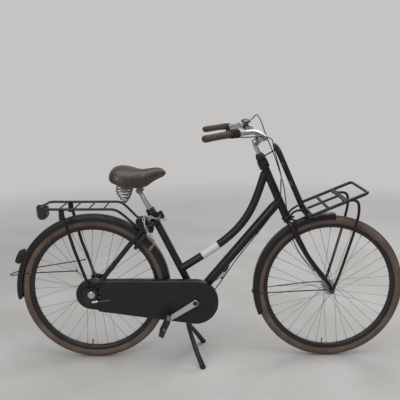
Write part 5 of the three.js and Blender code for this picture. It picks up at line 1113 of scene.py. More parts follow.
# %% Lock chain
CHAIN_ROUTE = [(353.2, -9.1, 705.7), (333.5, -24, 712.3), (303, -35, 719), (276, -34, 727), (262, -44, 727),
               (258, -62, 716), (266, -74, 690), (281, -74, 655), (300, -68, 625), (304, -62, 600),
               (288, -58, 577)]
CHAIN_STEPS, LINK_PITCH = 200, 17.94
LINK_LENGTH, LINK_WIDTH, LINK_WIRE = 8.7, 4.8, 2.3
chain_line = flowing(route(CHAIN_ROUTE), CHAIN_STEPS)
chain_length = sum((b - a).length for a, b in zip(chain_line, chain_line[1:]))
links = round(chain_length / LINK_PITCH)
chain = Piece()
for i in range(links + 1):
    at = round(CHAIN_STEPS * i / links)
    spot = chain_line[at]
    along = (chain_line[min(at + 1, CHAIN_STEPS)] - chain_line[max(at - 1, 0)]).normalized()
    wide = along.cross(UP).normalized() if i % 2 else along.cross(along.cross(UP)).normalized()
    through = along.cross(wide)
    rings = []
    for t in turns(20):
        middle = spot + along * LINK_LENGTH * math.cos(t) + wide * LINK_WIDTH * math.sin(t)
        out = (along * math.cos(t) + wide * math.sin(t)).normalized()
        rings.append([middle + (out * math.cos(u) + through * math.sin(u)) * LINK_WIRE for u in turns(8)])
    chain.skin(rings, loop=True)
chain.keep("lock_chain_links", "zinc_links", "frame", "lock_chain")
print(links + 1, "links on", round(chain_length), "mm")

# %% [markdown]
# ## Chaincase and drive
# The chaincase is two pressed shells around the chain and a small cover behind. Its outline is the line
# around two discs. The outer shell has a shallow groove inside its edge, and a crank passes through a hole in
# it. The chain, sprocket and chainring are inside and can't be seen, so their CAD nodes stay and only get
# their steel.

# %% The outline around two discs
def case_outline(front, rear, inset=0.0, steps=40):
    fx, fz, fr = front
    rx, rz, rr = rear
    slope = math.degrees(math.atan2(fz - rz, fx - rx))
    spread = math.degrees(math.acos((rr - fr) / math.hypot(fx - rx, fz - rz)))
    points = []
    for k in range(steps + 1):
        angle = math.radians(slope - spread + 2 * spread * k / steps)
        points.append((fx + (fr - inset) * math.cos(angle), fz + (fr - inset) * math.sin(angle)))
    for k in range(steps + 1):
        angle = math.radians(slope + spread + (360 - 2 * spread) * k / steps)
        points.append((rx + (rr - inset) * math.cos(angle), rz + (rr - inset) * math.sin(angle)))
    return points


CASE_FRONT, CASE_REAR = (498, 306, 110), (-8, 346, 76)
STAY_PLAY = 0.9
low_stay = tube_room(CHAIN_STAY_RADIUS + STAY_PLAY, flowing(route(CHAIN_STAY, -1), 30))
high_stay = tube_room(SEAT_STAY_RADIUS + STAY_PLAY, cornered(route(SEAT_STAY, -1), 18))
print(len(case_outline(CASE_FRONT, CASE_REAR)), "points around the case")

# %% Outer shell
def case_part(rings, front=CASE_FRONT, rear=CASE_REAR):
    part = Piece()
    part.skin([[Vector((x, side, z)) for x, z in case_outline(front, rear, inset)] for inset, side in rings])
    return part


pressed = case_part([(0, -41.5), (0, -68), (0.6, -71.1), (2.3, -73.7), (4.9, -75.4), (8, -76), (14, -76),
                     (16.5, -75.3), (19, -75.3), (21.5, -76), (60, -76)])
case = pressed.keep("chaincase_outer_shell", "powder_black", "frame", "chaincase_outer")
hollow = case_part([(1.8, -30), (1.8, -68), (3.6, -72.2), (8, -73.6), (60, -73.6)])
rear_block = block_room([(-120, 160), (14, 160), (53, 460), (-120, 460)])
cut_away(case, hollow, rear_block, rod_room(15.5, -110, 0, BRACKET, sides=56), high_stay)

# %% Inner shell and rear cover
inner = Piece()
inner.plate(case_outline(CASE_FRONT, CASE_REAR, 1.8), -41.2, -37.5, edge=0.6)
inner_shell = inner.keep("chaincase_inner_shell", "powder_black", "frame", "chaincase_inner")
hub_room = rod_room(43, -90, 0, REAR_AXLE, sides=64)
bracket_room = rod_room(SHELL_RADIUS + 1, -90, 0, BRACKET, sides=48)
cut_away(inner_shell, hub_room, bracket_room, low_stay, rod_room(15.5, -60, 22, STAND_PIVOT))
cover = case_part([(1.8, -41.7), (1.8, -57), (2.3, -58.8), (3.8, -60), (30, -60)])
rear_cover = cover.keep("chaincase_rear_lid", "powder_black", "frame", "chaincase_rear_cover")
lid_hollow = case_part([(3.6, -30), (3.6, -56.4), (5.6, -58.2), (30, -58.2)])
front_block = block_room([(13.7, 160), (700, 160), (700, 460), (52.7, 460)])
cut_away(rear_cover, lid_hollow, front_block, rod_room(25, -90, 0, REAR_AXLE, sides=56), low_stay, high_stay)

# %% Hidden drive
for name in ("chainring", "rear_sprocket", "chain", "crank_spindle"):
    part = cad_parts[name]
    part.data.materials.clear()
    part.data.materials.append(FINISHES["hard_steel"][0])
    print(name, "keeps its CAD shape in hard steel")

# %% [markdown]
# ## Cranks and pedals
# A crank is a tapered arm with a boss on the spindle and an eye for the pedal. Its outline is again the line
# around two discs, and it gets thinner toward the pedal. A pedal is a barrel with two rubber blocks between
# end plates. The blocks have ribs for the shoe, and each long side carries a tan reflector.

# %% Cranks
CRANK_ANGLE = 212


def pedal_eye(side):
    return around(BRACKET, CRANK_LENGTH, CRANK_ANGLE if side < 0 else CRANK_ANGLE - 180)


def make_crank(name, side):
    eye = pedal_eye(side)
    crank = Piece()
    rings = []
    for inset, share in ((1.6, 0), (0.4, 0.1), (0, 0.28), (0, 0.72), (0.4, 0.9), (1.6, 1)):
        outline = case_outline((BRACKET.x, BRACKET.z, 15.9), (eye.x, eye.z, 11.9), inset, 16)
        ring = []
        for x, z in outline:
            reach = math.hypot(x - BRACKET.x, z - BRACKET.z) / CRANK_LENGTH
            thick = 14 - 2.5 * min(max(reach, 0), 1)
            ring.append(Vector((x, side * (82.1 + 0.8 + thick * share), z)))
        rings.append(ring)
    crank.skin(rings)
    crank.rod(13.8, *across(side, 53.2, 83), BRACKET, LEFT, edge=1.2)
    crank.rod(5.8, *across(side, 90, 194.6), eye, LEFT, sides=24)
    crank.rod(8.6, *across(side, 96.6, 99.6), eye, LEFT, 1, sides=6, edge=0.6)
    crank.turned([(0.1, side * 96), (9.5, side * 96), (11.4, side * 96.2), (11.6, side * 97.4),
                  (10.6, side * 98.3),
                  (0.1, side * 98.9)], BRACKET, LEFT, 2)
    crank.keep(name + "_arm", ["polished_aluminium", "hard_steel", "satin_plastic"], "crank", name)


make_crank("crank_right", -1)
make_crank("crank_left", 1)

# %% Pedals
PEDAL_END = 196.6


def make_pedal(name, body, side):
    eye = pedal_eye(side)
    lean = math.radians(65)
    flat, rise = Vector((math.cos(lean), 0, math.sin(lean))), Vector((-math.sin(lean), 0, math.cos(lean)))
    pedal = Piece()
    low, high = across(side, 101.4, PEDAL_END)
    pedal.turned([(6.9, low), (11, low), (11.8, low + 1), (11.8, high - 1), (11, high), (6.9, high)], eye,
                 LEFT,
                 closed=True, kind=1)
    for end in (-1, 1):
        seat = eye + flat * end * 32.5
        spread = (flat, rise, LEFT)
        u, v = seat.dot(flat), seat.dot(rise)
        outline = [(u - 9, v - 11.4), (u + 9, v - 11.4), (u + 9, v + 11.4), (u - 9, v + 11.4)]
        pedal.plate(outline, low + 3.4, high - 3.4, 2, 0, spread, 3)
        for k in range(8):
            rib = low + 10 + k * (high - low - 20) / 7
            for face in (-1, 1):
                ridge = [(u - 7.6, v + face * 11.2), (u + 7.6, v + face * 11.2), (u + 6.6, v + face * 12.4),
                         (u - 6.6, v + face * 12.4)]
                pedal.plate(ridge[::face], rib - 2.6, rib + 2.6, 0.5, 0, spread, 1)
        glass = [(u + end * 8.6, v - 7), (u + end * 9.4, v - 7), (u + end * 9.4, v + 7),
                 (u + end * 8.6, v + 7)]
        pedal.plate(glass, low + 24, high - 24, 0.2, 2, spread, 1)
    for near, far in ((low + 0.1, low + 2.9), (high - 2.9, high - 0.1)):
        u, v = eye.dot(flat), eye.dot(rise)
        outline = [(u + a * 40, v + b * 10.9) for a, b in ((-1, -1), (1, -1), (1, 1), (-1, 1))]
        pedal.plate(outline, near, far, 0.7, 1, (flat, rise, LEFT))
    tip = side * PEDAL_END
    pedal.turned([(0.1, tip - side), (7.4, tip - side), (7.4, tip + side * 0.1), (6, tip + side * 0.3),
                  (0.1, tip + side * 0.35)], eye, LEFT, 3)
    made = pedal.keep(name + "_block", ["dull_rubber", "satin_plastic", "amber_lens", "hard_steel"], body,
                      name)
    cut_away(made, rod_room(6.7, *across(side, 0, 195.2), eye))


make_pedal("pedal_right", "right_pedal", -1)
make_pedal("pedal_left", "left_pedal", 1)

# %% [markdown]
# ## Stand and gear box
# The two-legged stand turns on a pin below the bottom bracket. Its legs are tubes that spread and grow
# thicker toward their rounded feet. The gear box sits on the right end of the rear axle, a plastic box with a
# metal cap and the clamp that holds the shift cable.

# %% Stand
STAND = [(462, 28, 222), (457, 27, 190), (459, 24.5, 166), (465, 30.5, 146), (482, 66, 106), (506, 110, 53),
         (530, 141, 5)]
LEG_STEPS = 40
STAND_FOOT = [(0.1, 0.05), (11, 0.05), (13.4, 1.4), (14.2, 4), (14.2, 7), (13.4, 10.5), (11, 14), (0.1, 16)]
stand = Piece()
for side in (-1, 1):
    leg = flowing(route(STAND, side), LEG_STEPS)
    stand.bar(leg[:-1], [9 + 4 * k / (LEG_STEPS - 1) for k in range(LEG_STEPS)], sides=24)
    stand.turned(STAND_FOOT, Vector((529.5, side * 140.5, 0)), UP)
stand.rod(5.8, -28, 28, STAND_PIVOT, LEFT)
stand.keep("kickstand_tubes", "powder_black", "stand", "kickstand_legs")
hanger = Piece()
hanger.block(Vector((455, 0, 297)), (62, 54, 6), edge=1.4)
for side in (-1, 1):
    outline = case_outline((455, 297, 12), (STAND_PIVOT.x, STAND_PIVOT.z, 12), 0.0, 14)
    hanger.plate(outline, *across(side, 12.6, 17.4), edge=0.8)
hanger.turned([(0.1, 293), (7, 293), (7, 288), (0.1, 287.4)], Vector((455, 0, 0)), UP, 1, sides=6)
bracket = hanger.keep("kickstand_hanger", ["powder_black", "hard_steel"], "frame", "kickstand_bracket")
stays_room = tube_room(CHAIN_STAY_RADIUS + 0.4, *[flowing(route(CHAIN_STAY, side), 30) for side in (-1, 1)])
shell_room = rod_room(SHELL_RADIUS + 0.4, -36, 36, BRACKET, sides=40)
cut_away(bracket, rod_room(6.6, -40, 40, STAND_PIVOT), stays_room, shell_room)

# %% Gear box at the rear axle
box_outline = []
for sx, sz in ((-1, -1), (1, -1), (1, 1), (-1, 1)):
    corner = Vector((-6 + sx * 32, 0, 346 + sz * 41))
    start = corner - Vector((sx * 16, 0, 0)) if sx * sz < 0 else corner - Vector((0, 0, sz * 16))
    stop = corner - Vector((0, 0, sz * 16)) if sx * sz < 0 else corner - Vector((sx * 16, 0, 0))
    for k in range(7):
        s = k / 6
        place = start.lerp(corner, s).lerp(corner.lerp(stop, s), s)
        box_outline.append((place.x, place.z))
gear_box = Piece()
gear_box.plate(box_outline[::-1], -96.2, -69.5, edge=4, rounds=4)
box_body = gear_box.keep("gear_box_shell", "satin_plastic", "frame", "gear_click_box")
cut_away(box_body, rod_room(10, -77.8, 0, REAR_AXLE), high_stay)
cap = Piece()
cap.turned([(0.1, -92), (17, -92), (17, -97.4), (15.6, -98.6), (11, -98.9), (10.4, -98), (0.1, -98)],
           REAR_AXLE, LEFT, 0)
cap.turned([(0.1, -97), (8.4, -97), (8.4, -102.4), (7, -104), (0.1, -104.4)], REAR_AXLE, LEFT, 0, sides=6)
cap.bar([Vector((2, -96, 322)), Vector((30, -96, 326))], 5.5, 0, sides=20)
cap.bar([Vector((26, -97, 325.5)), Vector((86, -98, 331))], 1.4, 1, sides=10)
cap.keep("gear_box_cap", ["polished_aluminium", "hard_steel"], "frame")

# %% [markdown]
# ## Saddle
# The saddle is foam under brown leather, so it is a padded piece. Its sections are known from nose to tail,
# and a loft through them gives the form. Air pressure in a short cloth run then swells it a little, as foam
# pushes leather out between the rim and the frame. The run starts from a slightly smaller form, and no point
# may move far.

# %% Saddle sections
SADDLE = [(97, 50, 930, 911, 12), (106, 80, 947, 900, 13), (122, 96, 961, 894, 13), (148, 103, 967, 886, 13),
          (177, 102, 965, 876, 13), (205, 94, 959, 870, 13), (232, 79, 951, 868, 12), (255, 61, 948, 870, 12),
          (275, 48, 951, 877, 12), (298, 37, 955, 894, 11), (322, 30, 959, 906, 10), (345, 26, 956, 914, 9),
          (360, 20, 946, 919, 8), (367, 12, 938, 925, 5)]
CROWN = [(1, 0), (0.995, 0.15), (0.98, 0.32), (0.95, 0.48), (0.9, 0.62), (0.8, 0.76), (0.68, 0.86),
         (0.52, 0.93),
         (0.36, 0.97), (0.18, 0.99), (0, 1)]
RECESS = [(1, 0), (0.99, 0.7), (0.94, 1), (0.6, 1), (0.3, 1), (0, 1)]


def saddle_ring(x, half, top, low, wall, shrink):
    half, top = half - shrink, top - shrink
    roof = max(896, low + 9)
    outer = [(w * half, low + h * (top - low)) for w, h in CROWN]
    inner = [(w * max(half - wall, 2), low + h * (min(roof, top - 4) - low)) for w, h in RECESS]
    ring = outer + [(-y, z) for y, z in outer[-2::-1]]
    back = inner + [(-y, z) for y, z in inner[-2::-1]]
    return [Vector((x, y, z)) for y, z in ring + back[::-1]]


def saddle_at(x):
    for a, b in zip(SADDLE, SADDLE[1:]):
        if a[0] <= x <= b[0]:
            s = (x - a[0]) / (b[0] - a[0])
            return [p + (q - p) * s for p, q in zip(a, b)]


TAIL, NOSE, STATIONS = SADDLE[0][0], SADDLE[-1][0], 60
smoothed = []
for k in range(STATIONS + 1):
    x = TAIL + (NOSE - TAIL) * (k / STATIONS)
    here = [saddle_at(min(max(x + d, TAIL), NOSE)) for d in (-7, -3.5, 0, 3.5, 7)]
    blend = [sum(h[i] * w for h, w in zip(here, (0.1, 0.2, 0.4, 0.2, 0.1))) for i in range(1, 5)]
    smoothed.append([x] + (blend if 0 < k < STATIONS else here[2][1:]))
saddle = Piece()
saddle.skin([saddle_ring(*station, shrink=1.6) for station in smoothed])
saddle_mesh = saddle.mesh("saddle_form")
cover_object = bpy.data.objects.new("saddle_padded_cover", saddle_mesh)
bpy.context.scene.collection.objects.link(cover_object)
print("saddle form", len(saddle_mesh.polygons), "faces")

# %% Swell the padding
def voxel_skin(obj, size):
    step = obj.modifiers.new("even", "REMESH")
    step.mode, step.voxel_size = "VOXEL", size
    bpy.context.view_layer.update()
    shape = obj.evaluated_get(bpy.context.evaluated_depsgraph_get())
    mesh = bpy.data.meshes.new_from_object(shape)
    obj.modifiers.clear()
    obj.data = mesh


def swell(obj, pressure, frames, cap):
    start = [v.co.copy() for v in obj.data.vertices]
    cloth = obj.modifiers.new("cloth", "CLOTH")
    cloth.settings.use_pressure = True
    cloth.settings.uniform_pressure_force = pressure
    cloth.settings.quality = 5
    cloth.settings.mass = 0.4
    cloth.settings.tension_stiffness = 40
    cloth.settings.effector_weights.gravity = 0
    cloth.collision_settings.use_self_collision = False
    scene = bpy.context.scene
    for step in range(1, frames + 1):
        scene.frame_set(step)
    shape = obj.evaluated_get(bpy.context.evaluated_depsgraph_get())
    moved = [v.co.copy() for v in shape.data.vertices]
    obj.modifiers.clear()
    scene.frame_set(1)
    for vertex, was, now in zip(obj.data.vertices, start, moved):
        shift = now - was
        vertex.co = was + shift * min(1, cap / max(shift.length, 1e-9))


voxel_skin(cover_object, 0.0045)
swell(cover_object, 4.0, 14, 0.0022)
relax = cover_object.modifiers.new("relax", "SMOOTH")
relax.factor, relax.iterations = 0.5, 6
finer = cover_object.modifiers.new("finer", "SUBSURF")
finer.levels = finer.render_levels = 1
bpy.context.view_layer.update()
shape = cover_object.evaluated_get(bpy.context.evaluated_depsgraph_get())
cover_mesh = bpy.data.meshes.new_from_object(shape)
cover_object.modifiers.clear()
cover_object.data = cover_mesh
dress(cover_object, "saddle_leather", "seat", "saddle_cover")

# %% Stitched seams
cover_tree = BVHTree.FromPolygons([v.co for v in cover_mesh.vertices],
                                  [p.vertices for p in cover_mesh.polygons])


def on_cover(place, lift):
    spot, normal = cover_tree.find_nearest(in_metres(place))[:2]
    spot = spot + normal * lift / 1000
    return Vector((spot.x * 1000 + ROW_MIDDLE, spot.y * 1000, spot.z * 1000))


SEAM_X, SEAM_START, SEAM_END, SEAM_RISE, STITCH_ENDS = 338, 104, 356, 0.16, 70
seams = Piece()
ring = saddle_ring(*([SEAM_X] + saddle_at(SEAM_X)[1:]), shrink=0)[:21]
seams.bar(flowing([on_cover(p, 0.2) for p in ring], 60), 0.9, sides=8)
for side in (-1, 1):
    run = []
    for k in range(STITCH_ENDS):
        x = SEAM_START + (SEAM_END - SEAM_START) * k / (STITCH_ENDS - 1)
        half, top, low = saddle_at(x)[1:4]
        run.append(on_cover(Vector((x, side * (half + 3), low + SEAM_RISE * (top - low))), 0.25))
    for near, far in zip(run[:-2:2], run[1::2]):
        seams.bar([near, near.lerp(far, 0.5), far], 0.55, sides=6)
seams.keep("saddle_stitches", "saddle_thread", "seat")

# %% [markdown]
# Under the cover two steel rails run back to a pair of barrel springs. A spring is one wire on a rising
# spiral whose radius grows to the belly and comes in again at the top, and its ends run straight into their
# seats.

# %% Saddle rails, clamp and springs
RAILS = [(349, 9, 916), (322, 15, 905), (296, 20, 890), (268, 22, 872), (205, 22, 862), (196, 26, 840),
         (187, 31, 817),
         (176, 39, 798.8), (164, 48, 797.8)]
SPRING_X, SPRING_SIDE = 164, 48
SPRING_TURNS, SPRING_STEPS = 6, 288
undercarriage = Piece()
for side in (-1, 1):
    undercarriage.bar(flowing(route(RAILS, side), 60), 3.5, sides=16)
    cup_top = Vector((SPRING_X, side * SPRING_SIDE, 803.6))
    undercarriage.turned([(0.1, -4), (10.5, -4), (11.8, -3), (11.8, 0), (10.4, 0), (10, -1.4), (0.1, -1.4)],
                         cup_top, UP,
                         sides=36)
undercarriage.rod(3.5, -9, 9, Vector((349, 0, 916)), LEFT, sides=16)
clamp_seat = on_seat(596)
undercarriage.turned([(14.2, -24), (15.8, -24), (16.8, -22.8), (16.8, -9), (15.6, -7.6), (15.6, 7.6),
                      (16.8, 9),
                      (16.8, 22.8), (15.8, 24), (14.2, 24)], clamp_seat, LEFT, closed=True, sides=40)
undercarriage.turned([(0.1, -24.6), (14.4, -24.6), (14.4, 24.6), (0.1, 24.6)], clamp_seat, LEFT, sides=40)
for side in (-1, 1):
    undercarriage.turned([(0.1, side * 24), (7, side * 24), (7, side * 28.6), (6, side * 29.6),
                          (0.1, side * 29.6)],
                         clamp_seat, LEFT, sides=6)
rails = undercarriage.keep("saddle_rails_and_clamp", "hard_steel", "seat", "saddle_frame")
post_room = Piece()
post_room.turned([(0.1, 500), (14.7, 500), (14.7, 586), (11.3, 596), (11.3, 607), (0.1, 607)], BRACKET,
                 SEAT_UP)
cut_away(rails, post_room)


def spring_line(side):
    low, high = 810, 889.7
    line = []
    for k in range(SPRING_STEPS + 1):
        share = k / SPRING_STEPS
        size = 9 + 23 * min(share / 0.5, 1) - 5 * max((share - 0.5) / 0.5, 0)
        turn = 2 * math.pi * SPRING_TURNS * share
        line.append(Vector((SPRING_X + size * math.cos(turn), side * (SPRING_SIDE + size * math.sin(turn)),
                            low + (high - low) * share)))
    return [line[0] - UP * 5.8] + line + [line[-1] + UP * 5.8]


for side, name in ((-1, "saddle_spring_right"), (1, "saddle_spring_left")):
    spring = Piece()
    spring.bar(spring_line(side), 2.9, sides=10, turned_to=FORWARD, blunt=False)
    spring.keep(name + "_coil", "spring_steel", "seat", name)
post = Piece()
post.turned([(0.1, 350), (13.6, 350), (14.2, 351), (14.2, 575), (13.8, 577), (11, 586), (11, 605.6),
             (0.1, 606)],
            BRACKET, SEAT_UP, sides=48)
post.keep("seat_post_tube", "polished_aluminium", "seat", "seat_post")

# %% [markdown]
# ## Fork and steering
# The fork is a steerer on a crown from which two blades run down in one bent tube. They are widest below the
# crown and taper to the tips. A small plate at each tip takes the axle.

# %% Fork
BLADE = [(945.5, 0, 690.5), (946, 24, 689.5), (952, 41, 679), (968, 46.5, 655), (1007, 47.5, 578),
         (1037, 48.5, 524),
         (1072, 50, 473), (1107, 51, 428), (1137, 52, 392), (1151, 52.5, 370)]
BLADE_RADII = [12.5, 12.5, 12.5, 13, 13, 12, 11, 10, 9, 7.5]
BLADE_STEPS = 120
fork = Piece()
fork.turned([(0.1, 384), (18.6, 384), (20, 385.4), (20, 399.6), (12.7, 399.6), (12.7, 737.6), (11.5, 737.6),
             (11.5, 410),
             (0.1, 410)], HEAD_FOOT, HEAD_UP, sides=48)
blade = route(BLADE)
path = mirrored(blade)[::-1] + blade[1:]
radii = BLADE_RADII[::-1] + BLADE_RADII[1:]
blade_line = flowing(path, BLADE_STEPS)
lengths = [0.0]
for a, b in zip(path, path[1:]):
    lengths.append(lengths[-1] + (b - a).length)


def radius_along(share):
    goal = share * lengths[-1]
    for i in range(len(lengths) - 1):
        if goal <= lengths[i + 1] + 1e-6:
            part = (goal - lengths[i]) / (lengths[i + 1] - lengths[i])
            return radii[i] + (radii[i + 1] - radii[i]) * part
    return radii[-1]


fork.bar(blade_line, [radius_along(k / BLADE_STEPS) - 0.2 for k in range(BLADE_STEPS + 1)], sides=30)
for side in (-1, 1):
    outline = case_outline((FRONT_AXLE.x, FRONT_AXLE.z, 13), (1151, 370, 6.5), 0.0, 20)
    fork.plate(outline, *across(side, 50.1, 54.9), edge=0.8)
fork.turned([(12.6, 420), (13.6, 424), (12.6, 428)], HEAD_FOOT, HEAD_UP, closed=True)
guard_bolt = on_head(394) - FRONT_AXLE
fork.rod(4.8, 373.2, guard_bolt.length, FRONT_AXLE, guard_bolt.normalized(), 1, sides=20)
fork_body = fork.keep("fork_smooth", ["powder_black", "hard_steel"], "steering", "fork")
cut_away(fork_body, rod_room(AXLE_HOLE, -70, 70, FRONT_AXLE))

# %% [markdown]
# The stem is a polished quill with a short neck to the clamp. The bar rises a little from the clamp and
# sweeps back to the grips. Everything on the bar is set by its distance from the bar's end, so one function
# gives any stretch.

# %% Handlebar and stem
HALF_BAR = route([(827, 60, 1091), (790, 115, 1117), (761, 165, 1129), (710, 235, 1130), (657, 270, 1128),
                  (550, 298, 1112)])
BAR_MIDDLE = Vector((801, 0, 1085))
bar_knots = mirrored(HALF_BAR)[::-1] + [BAR_MIDDLE] + HALF_BAR
bar_line = flowing(bar_knots, 264)


def bar_stretch(side, start, end):
    line = bar_line if side < 0 else bar_line[::-1]
    walked, stretch = 0.0, []
    for a, b in zip(line, line[1:]):
        step = (b - a).length
        if start <= walked <= end:
            stretch.append(a)
        for mark in (start, end):
            if walked < mark < walked + step:
                stretch.append(a.lerp(b, (mark - walked) / step))
        walked += step
    return [p for i, p in enumerate(stretch) if i == 0 or (p - stretch[i - 1]).length > 0.05]


handlebar = Piece()
handlebar.bar(bar_line,
              [12.7 if abs(p.y) < 21 else 12.7 - 1.6 * min((abs(p.y) - 21) / 6, 1) for p in bar_line],
              sides=28)
handlebar.keep("handlebar_tube", "polished_aluminium", "steering", "handlebar")
stem = Piece()
stem.bar([on_head(560), on_head(794)], 10.9, sides=36)
stem.bar(cornered([on_head(780), on_head(800), BAR_MIDDLE], 18, 14), 10.9, sides=36)
stem.turned([(13.6, -19), (17.6, -19), (18.8, -17.8), (18.8, 17.8), (17.6, 19), (13.6, 19)], BAR_MIDDLE, LEFT,
            closed=True, sides=56)
stem.block(BAR_MIDDLE - Vector((2, 0, 19)), (13, 26, 13), 20, edge=3, rounds=3)
stem.turned([(0.1, -16), (4.4, -16), (5.2, -15), (5.2, 15), (4.4, 16), (0.1, 16)],
            BAR_MIDDLE - Vector((3, 0, 22)), LEFT, 1,
            sides=24)
stem.turned([(0.1, 804), (6, 804), (7.4, 806), (7.4, 811), (6, 812.6), (3.4, 812.6), (3, 809), (0.1, 809)],
            HEAD_FOOT,
            HEAD_UP, 1, sides=32)
stem.keep("stem_smooth", ["polished_aluminium", "hard_steel"], "steering", "stem")

# %% Grips
for side, name in ((-1, "grip_right"), (1, "grip_left")):
    stretch = bar_stretch(side, 2, 111.8)
    sizes = []
    for i, place in enumerate(stretch):
        at = 2 + 109.8 * i / (len(stretch) - 1)
        size = 15.9 - 1.1 * math.sin(math.pi * min(at / 100, 1)) + 0.25 * math.sin(2 * math.pi * at / 4.4)
        sizes.append(18.3 if at > 107 else size if at > 5 else 14.9 + 0.4 * (at - 2))
    grip = Piece()
    grip.bar(stretch, sizes, sides=36)
    grip.turned([(0.1, -1.2), (10, -1.2), (13.4, -0.4), (14.6, 1.6), (14.6, 3)], stretch[0],
                (stretch[3] - stretch[0]).normalized(), sides=36)
    grip.keep(name + "_pressed", "grip_rubber", "steering", name)

# %% Twist shifter
near, far = bar_stretch(-1, 116.5, 152.5)[0], bar_stretch(-1, 116.5, 152.5)[-1]
twist_way = (far - near).normalized()
length = (far - near).length
shifter = Piece()
profile = [(13.6, 0), (17, 0), (17.9, 1.2)]
for k in range(7):
    start = 2.4 + k * (length - 9) / 7
    profile += [(18.1, start), (18.1, start + 2.4), (17.3, start + 2.9), (17.3, start + 3.5)]
profile += [(18.7, length - 6), (18.9, length - 5), (18.9, length - 1), (18.2, length), (16.4, length),
            (16.4, length + 3.4),
            (15.6, length + 3.9), (13.6, length + 3.9)]
shifter.turned(profile, near, twist_way, closed=True, sides=56)
across = twist_way.orthogonal().normalized()
for k in range(20):
    out = Quaternion(twist_way, 2 * math.pi * k / 20) @ across
    shifter.bar([near + out * 17.6 + twist_way * 3, near + out * 17.6 + twist_way * (length - 8)], 1.2,
                sides=8)
shifter.keep("twist_shifter_ribbed", "dull_rubber", "gear_twist_grip", "twist_shifter")

# %% [markdown]
# The brake lever turns on a pin in a small mount that is clamped beside the left grip. It is a flattened bar
# that gets thinner toward its rounded tip. The lever has its own frame: one way back along the bar, one way
# down, and the pin across.

# %% Brake lever
mount_stretch = bar_stretch(1, 113.2, 135.2)
start, stop = mount_stretch[0], mount_stretch[-1]
lever_back = (start - stop).normalized()
lever_down = (-UP + lever_back * lever_back.z).normalized()
lever_pin = lever_back.cross(lever_down).normalized()
lever_seat = start.lerp(stop, 0.5)
pivot = lever_seat + lever_down * 34
LEVER_CHEEK = [(-8.3, 12), (8.3, 12), (8.3, 38), (5, 42.6), (-5, 42.6), (-8.3, 38)]
mount = Piece()
mount.bar(mount_stretch, 15.3, sides=36)
for side in (-1, 1):
    spread = (lever_back, lever_down, lever_pin)
    u, v = lever_seat.dot(lever_back), lever_seat.dot(lever_down)
    outline = [(u + a, v + b) for a, b in LEVER_CHEEK]
    base = lever_seat.dot(lever_pin)
    mount.plate(outline, *sorted((base + side * 7.7, base + side * 11.4)), edge=1, spread=spread)
mount.block(lever_seat + lever_down * 18, (16, 20, 10), 0, edge=2)
mount.turned([(0.1, -11.9), (4.6, -11.9), (4.8, -11.2), (3.4, -10.6), (3.4, 10.6), (4.8, 11.2), (4.6, 11.9),
              (0.1, 11.9)],
             pivot, lever_pin, 1, sides=28)
mount.keep("brake_lever_clamp", ["satin_plastic", "hard_steel"], "steering", "brake_lever_mount")
LEVER = [(0, 0, 0), (26, 12, 1), (64, 20, 6), (106, 19, 20), (128, 22, 29)]
LEVER_STEPS = 48
lever_line = flowing([pivot + lever_back * a + lever_down * b + lever_pin * c for a, b, c in LEVER],
                     LEVER_STEPS)
lever_radii = [6.3 * (1 - 0.35 * k / LEVER_STEPS) for k in range(LEVER_STEPS)] + [6.3 * 0.65 * 0.72]
lever = Piece()
lever.bar(lever_line, lever_radii, sides=24, turned_to=lever_pin, flat=0.8)
lever.turned([(4.3, -6.3), (7.6, -6.3), (8.2, -5.6), (8.2, 5.6), (7.6, 6.3), (4.3, 6.3)], pivot, lever_pin,
             closed=True)
ball = lever_line[-1]
tip_way = (lever_line[-1] - lever_line[-4]).normalized()
lever.turned([(0.1, -4), (3.4, -3), (4.6, -0.6), (4.6, 0.6), (3.4, 2.6), (0.1, 3.4)], ball - tip_way * 3,
             tip_way, sides=24)
lever_body = lever.keep("brake_lever_blade", "polished_aluminium", "brake_hand_lever", "brake_lever")
cut_away(lever_body, rod_room(4.2, -30, 30, pivot, lever_pin))

# %% Bell and its thumb lever
coarse = flowing(bar_knots, 22)
bell_seat = min((p for p in coarse if p.y > 0), key=lambda p: abs(p.y - 190))
at = coarse.index(bell_seat)
bell_way = (coarse[at + 1] - bell_seat).normalized()
bell = Piece()
bell.turned([(0.1, 12), (12, 12), (12.8, 13), (12.8, 20.7), (15, 21), (24, 24.6), (24.9, 26), (24.9, 27.4),
             (24, 31.2),
             (21, 35.6), (16, 38.6), (10, 40.2), (4, 40.6), (3.2, 41), (0.1, 41.2)], bell_seat, UP, sides=64)
bell.bar([bell_seat - bell_way * 9, bell_seat + bell_way * 9], 14, 1, sides=32)
bell.keep("bell_dome", ["hard_steel", "satin_plastic"], "steering", "bell")
thumb = Piece()
thumb.turned([(14, 14.8), (16.6, 14.8), (17, 15.3), (17, 17.2), (16.6, 17.7), (14, 17.7)], bell_seat, UP,
             closed=True)
aim = Vector((-math.cos(math.radians(20)), -math.sin(math.radians(20)), 0))
thumb.bar([bell_seat + aim * 15.5 + UP * 16.2, bell_seat + aim * 40.5 + UP * 16.2], 3.3, sides=16, flat=0.42,
          turned_to=Vector((-aim.y, aim.x, 0)))
thumb.turned([(0.1, 14.8), (6.2, 14.8), (6.9, 15.6), (6.9, 19.4), (5.6, 20.6), (0.1, 19.8)],
             bell_seat + aim * 40.5, UP,
             sides=32)
thumb.keep("bell_thumb_piece", "hard_steel", "bell_thumb_lever", "bell_lever")

# %% [markdown]
# The cables are held at both ends and along the frame, so they are plain tubes on fixed lines. Each line is
# smooth, because a cable's housing is stiff and never kinks.

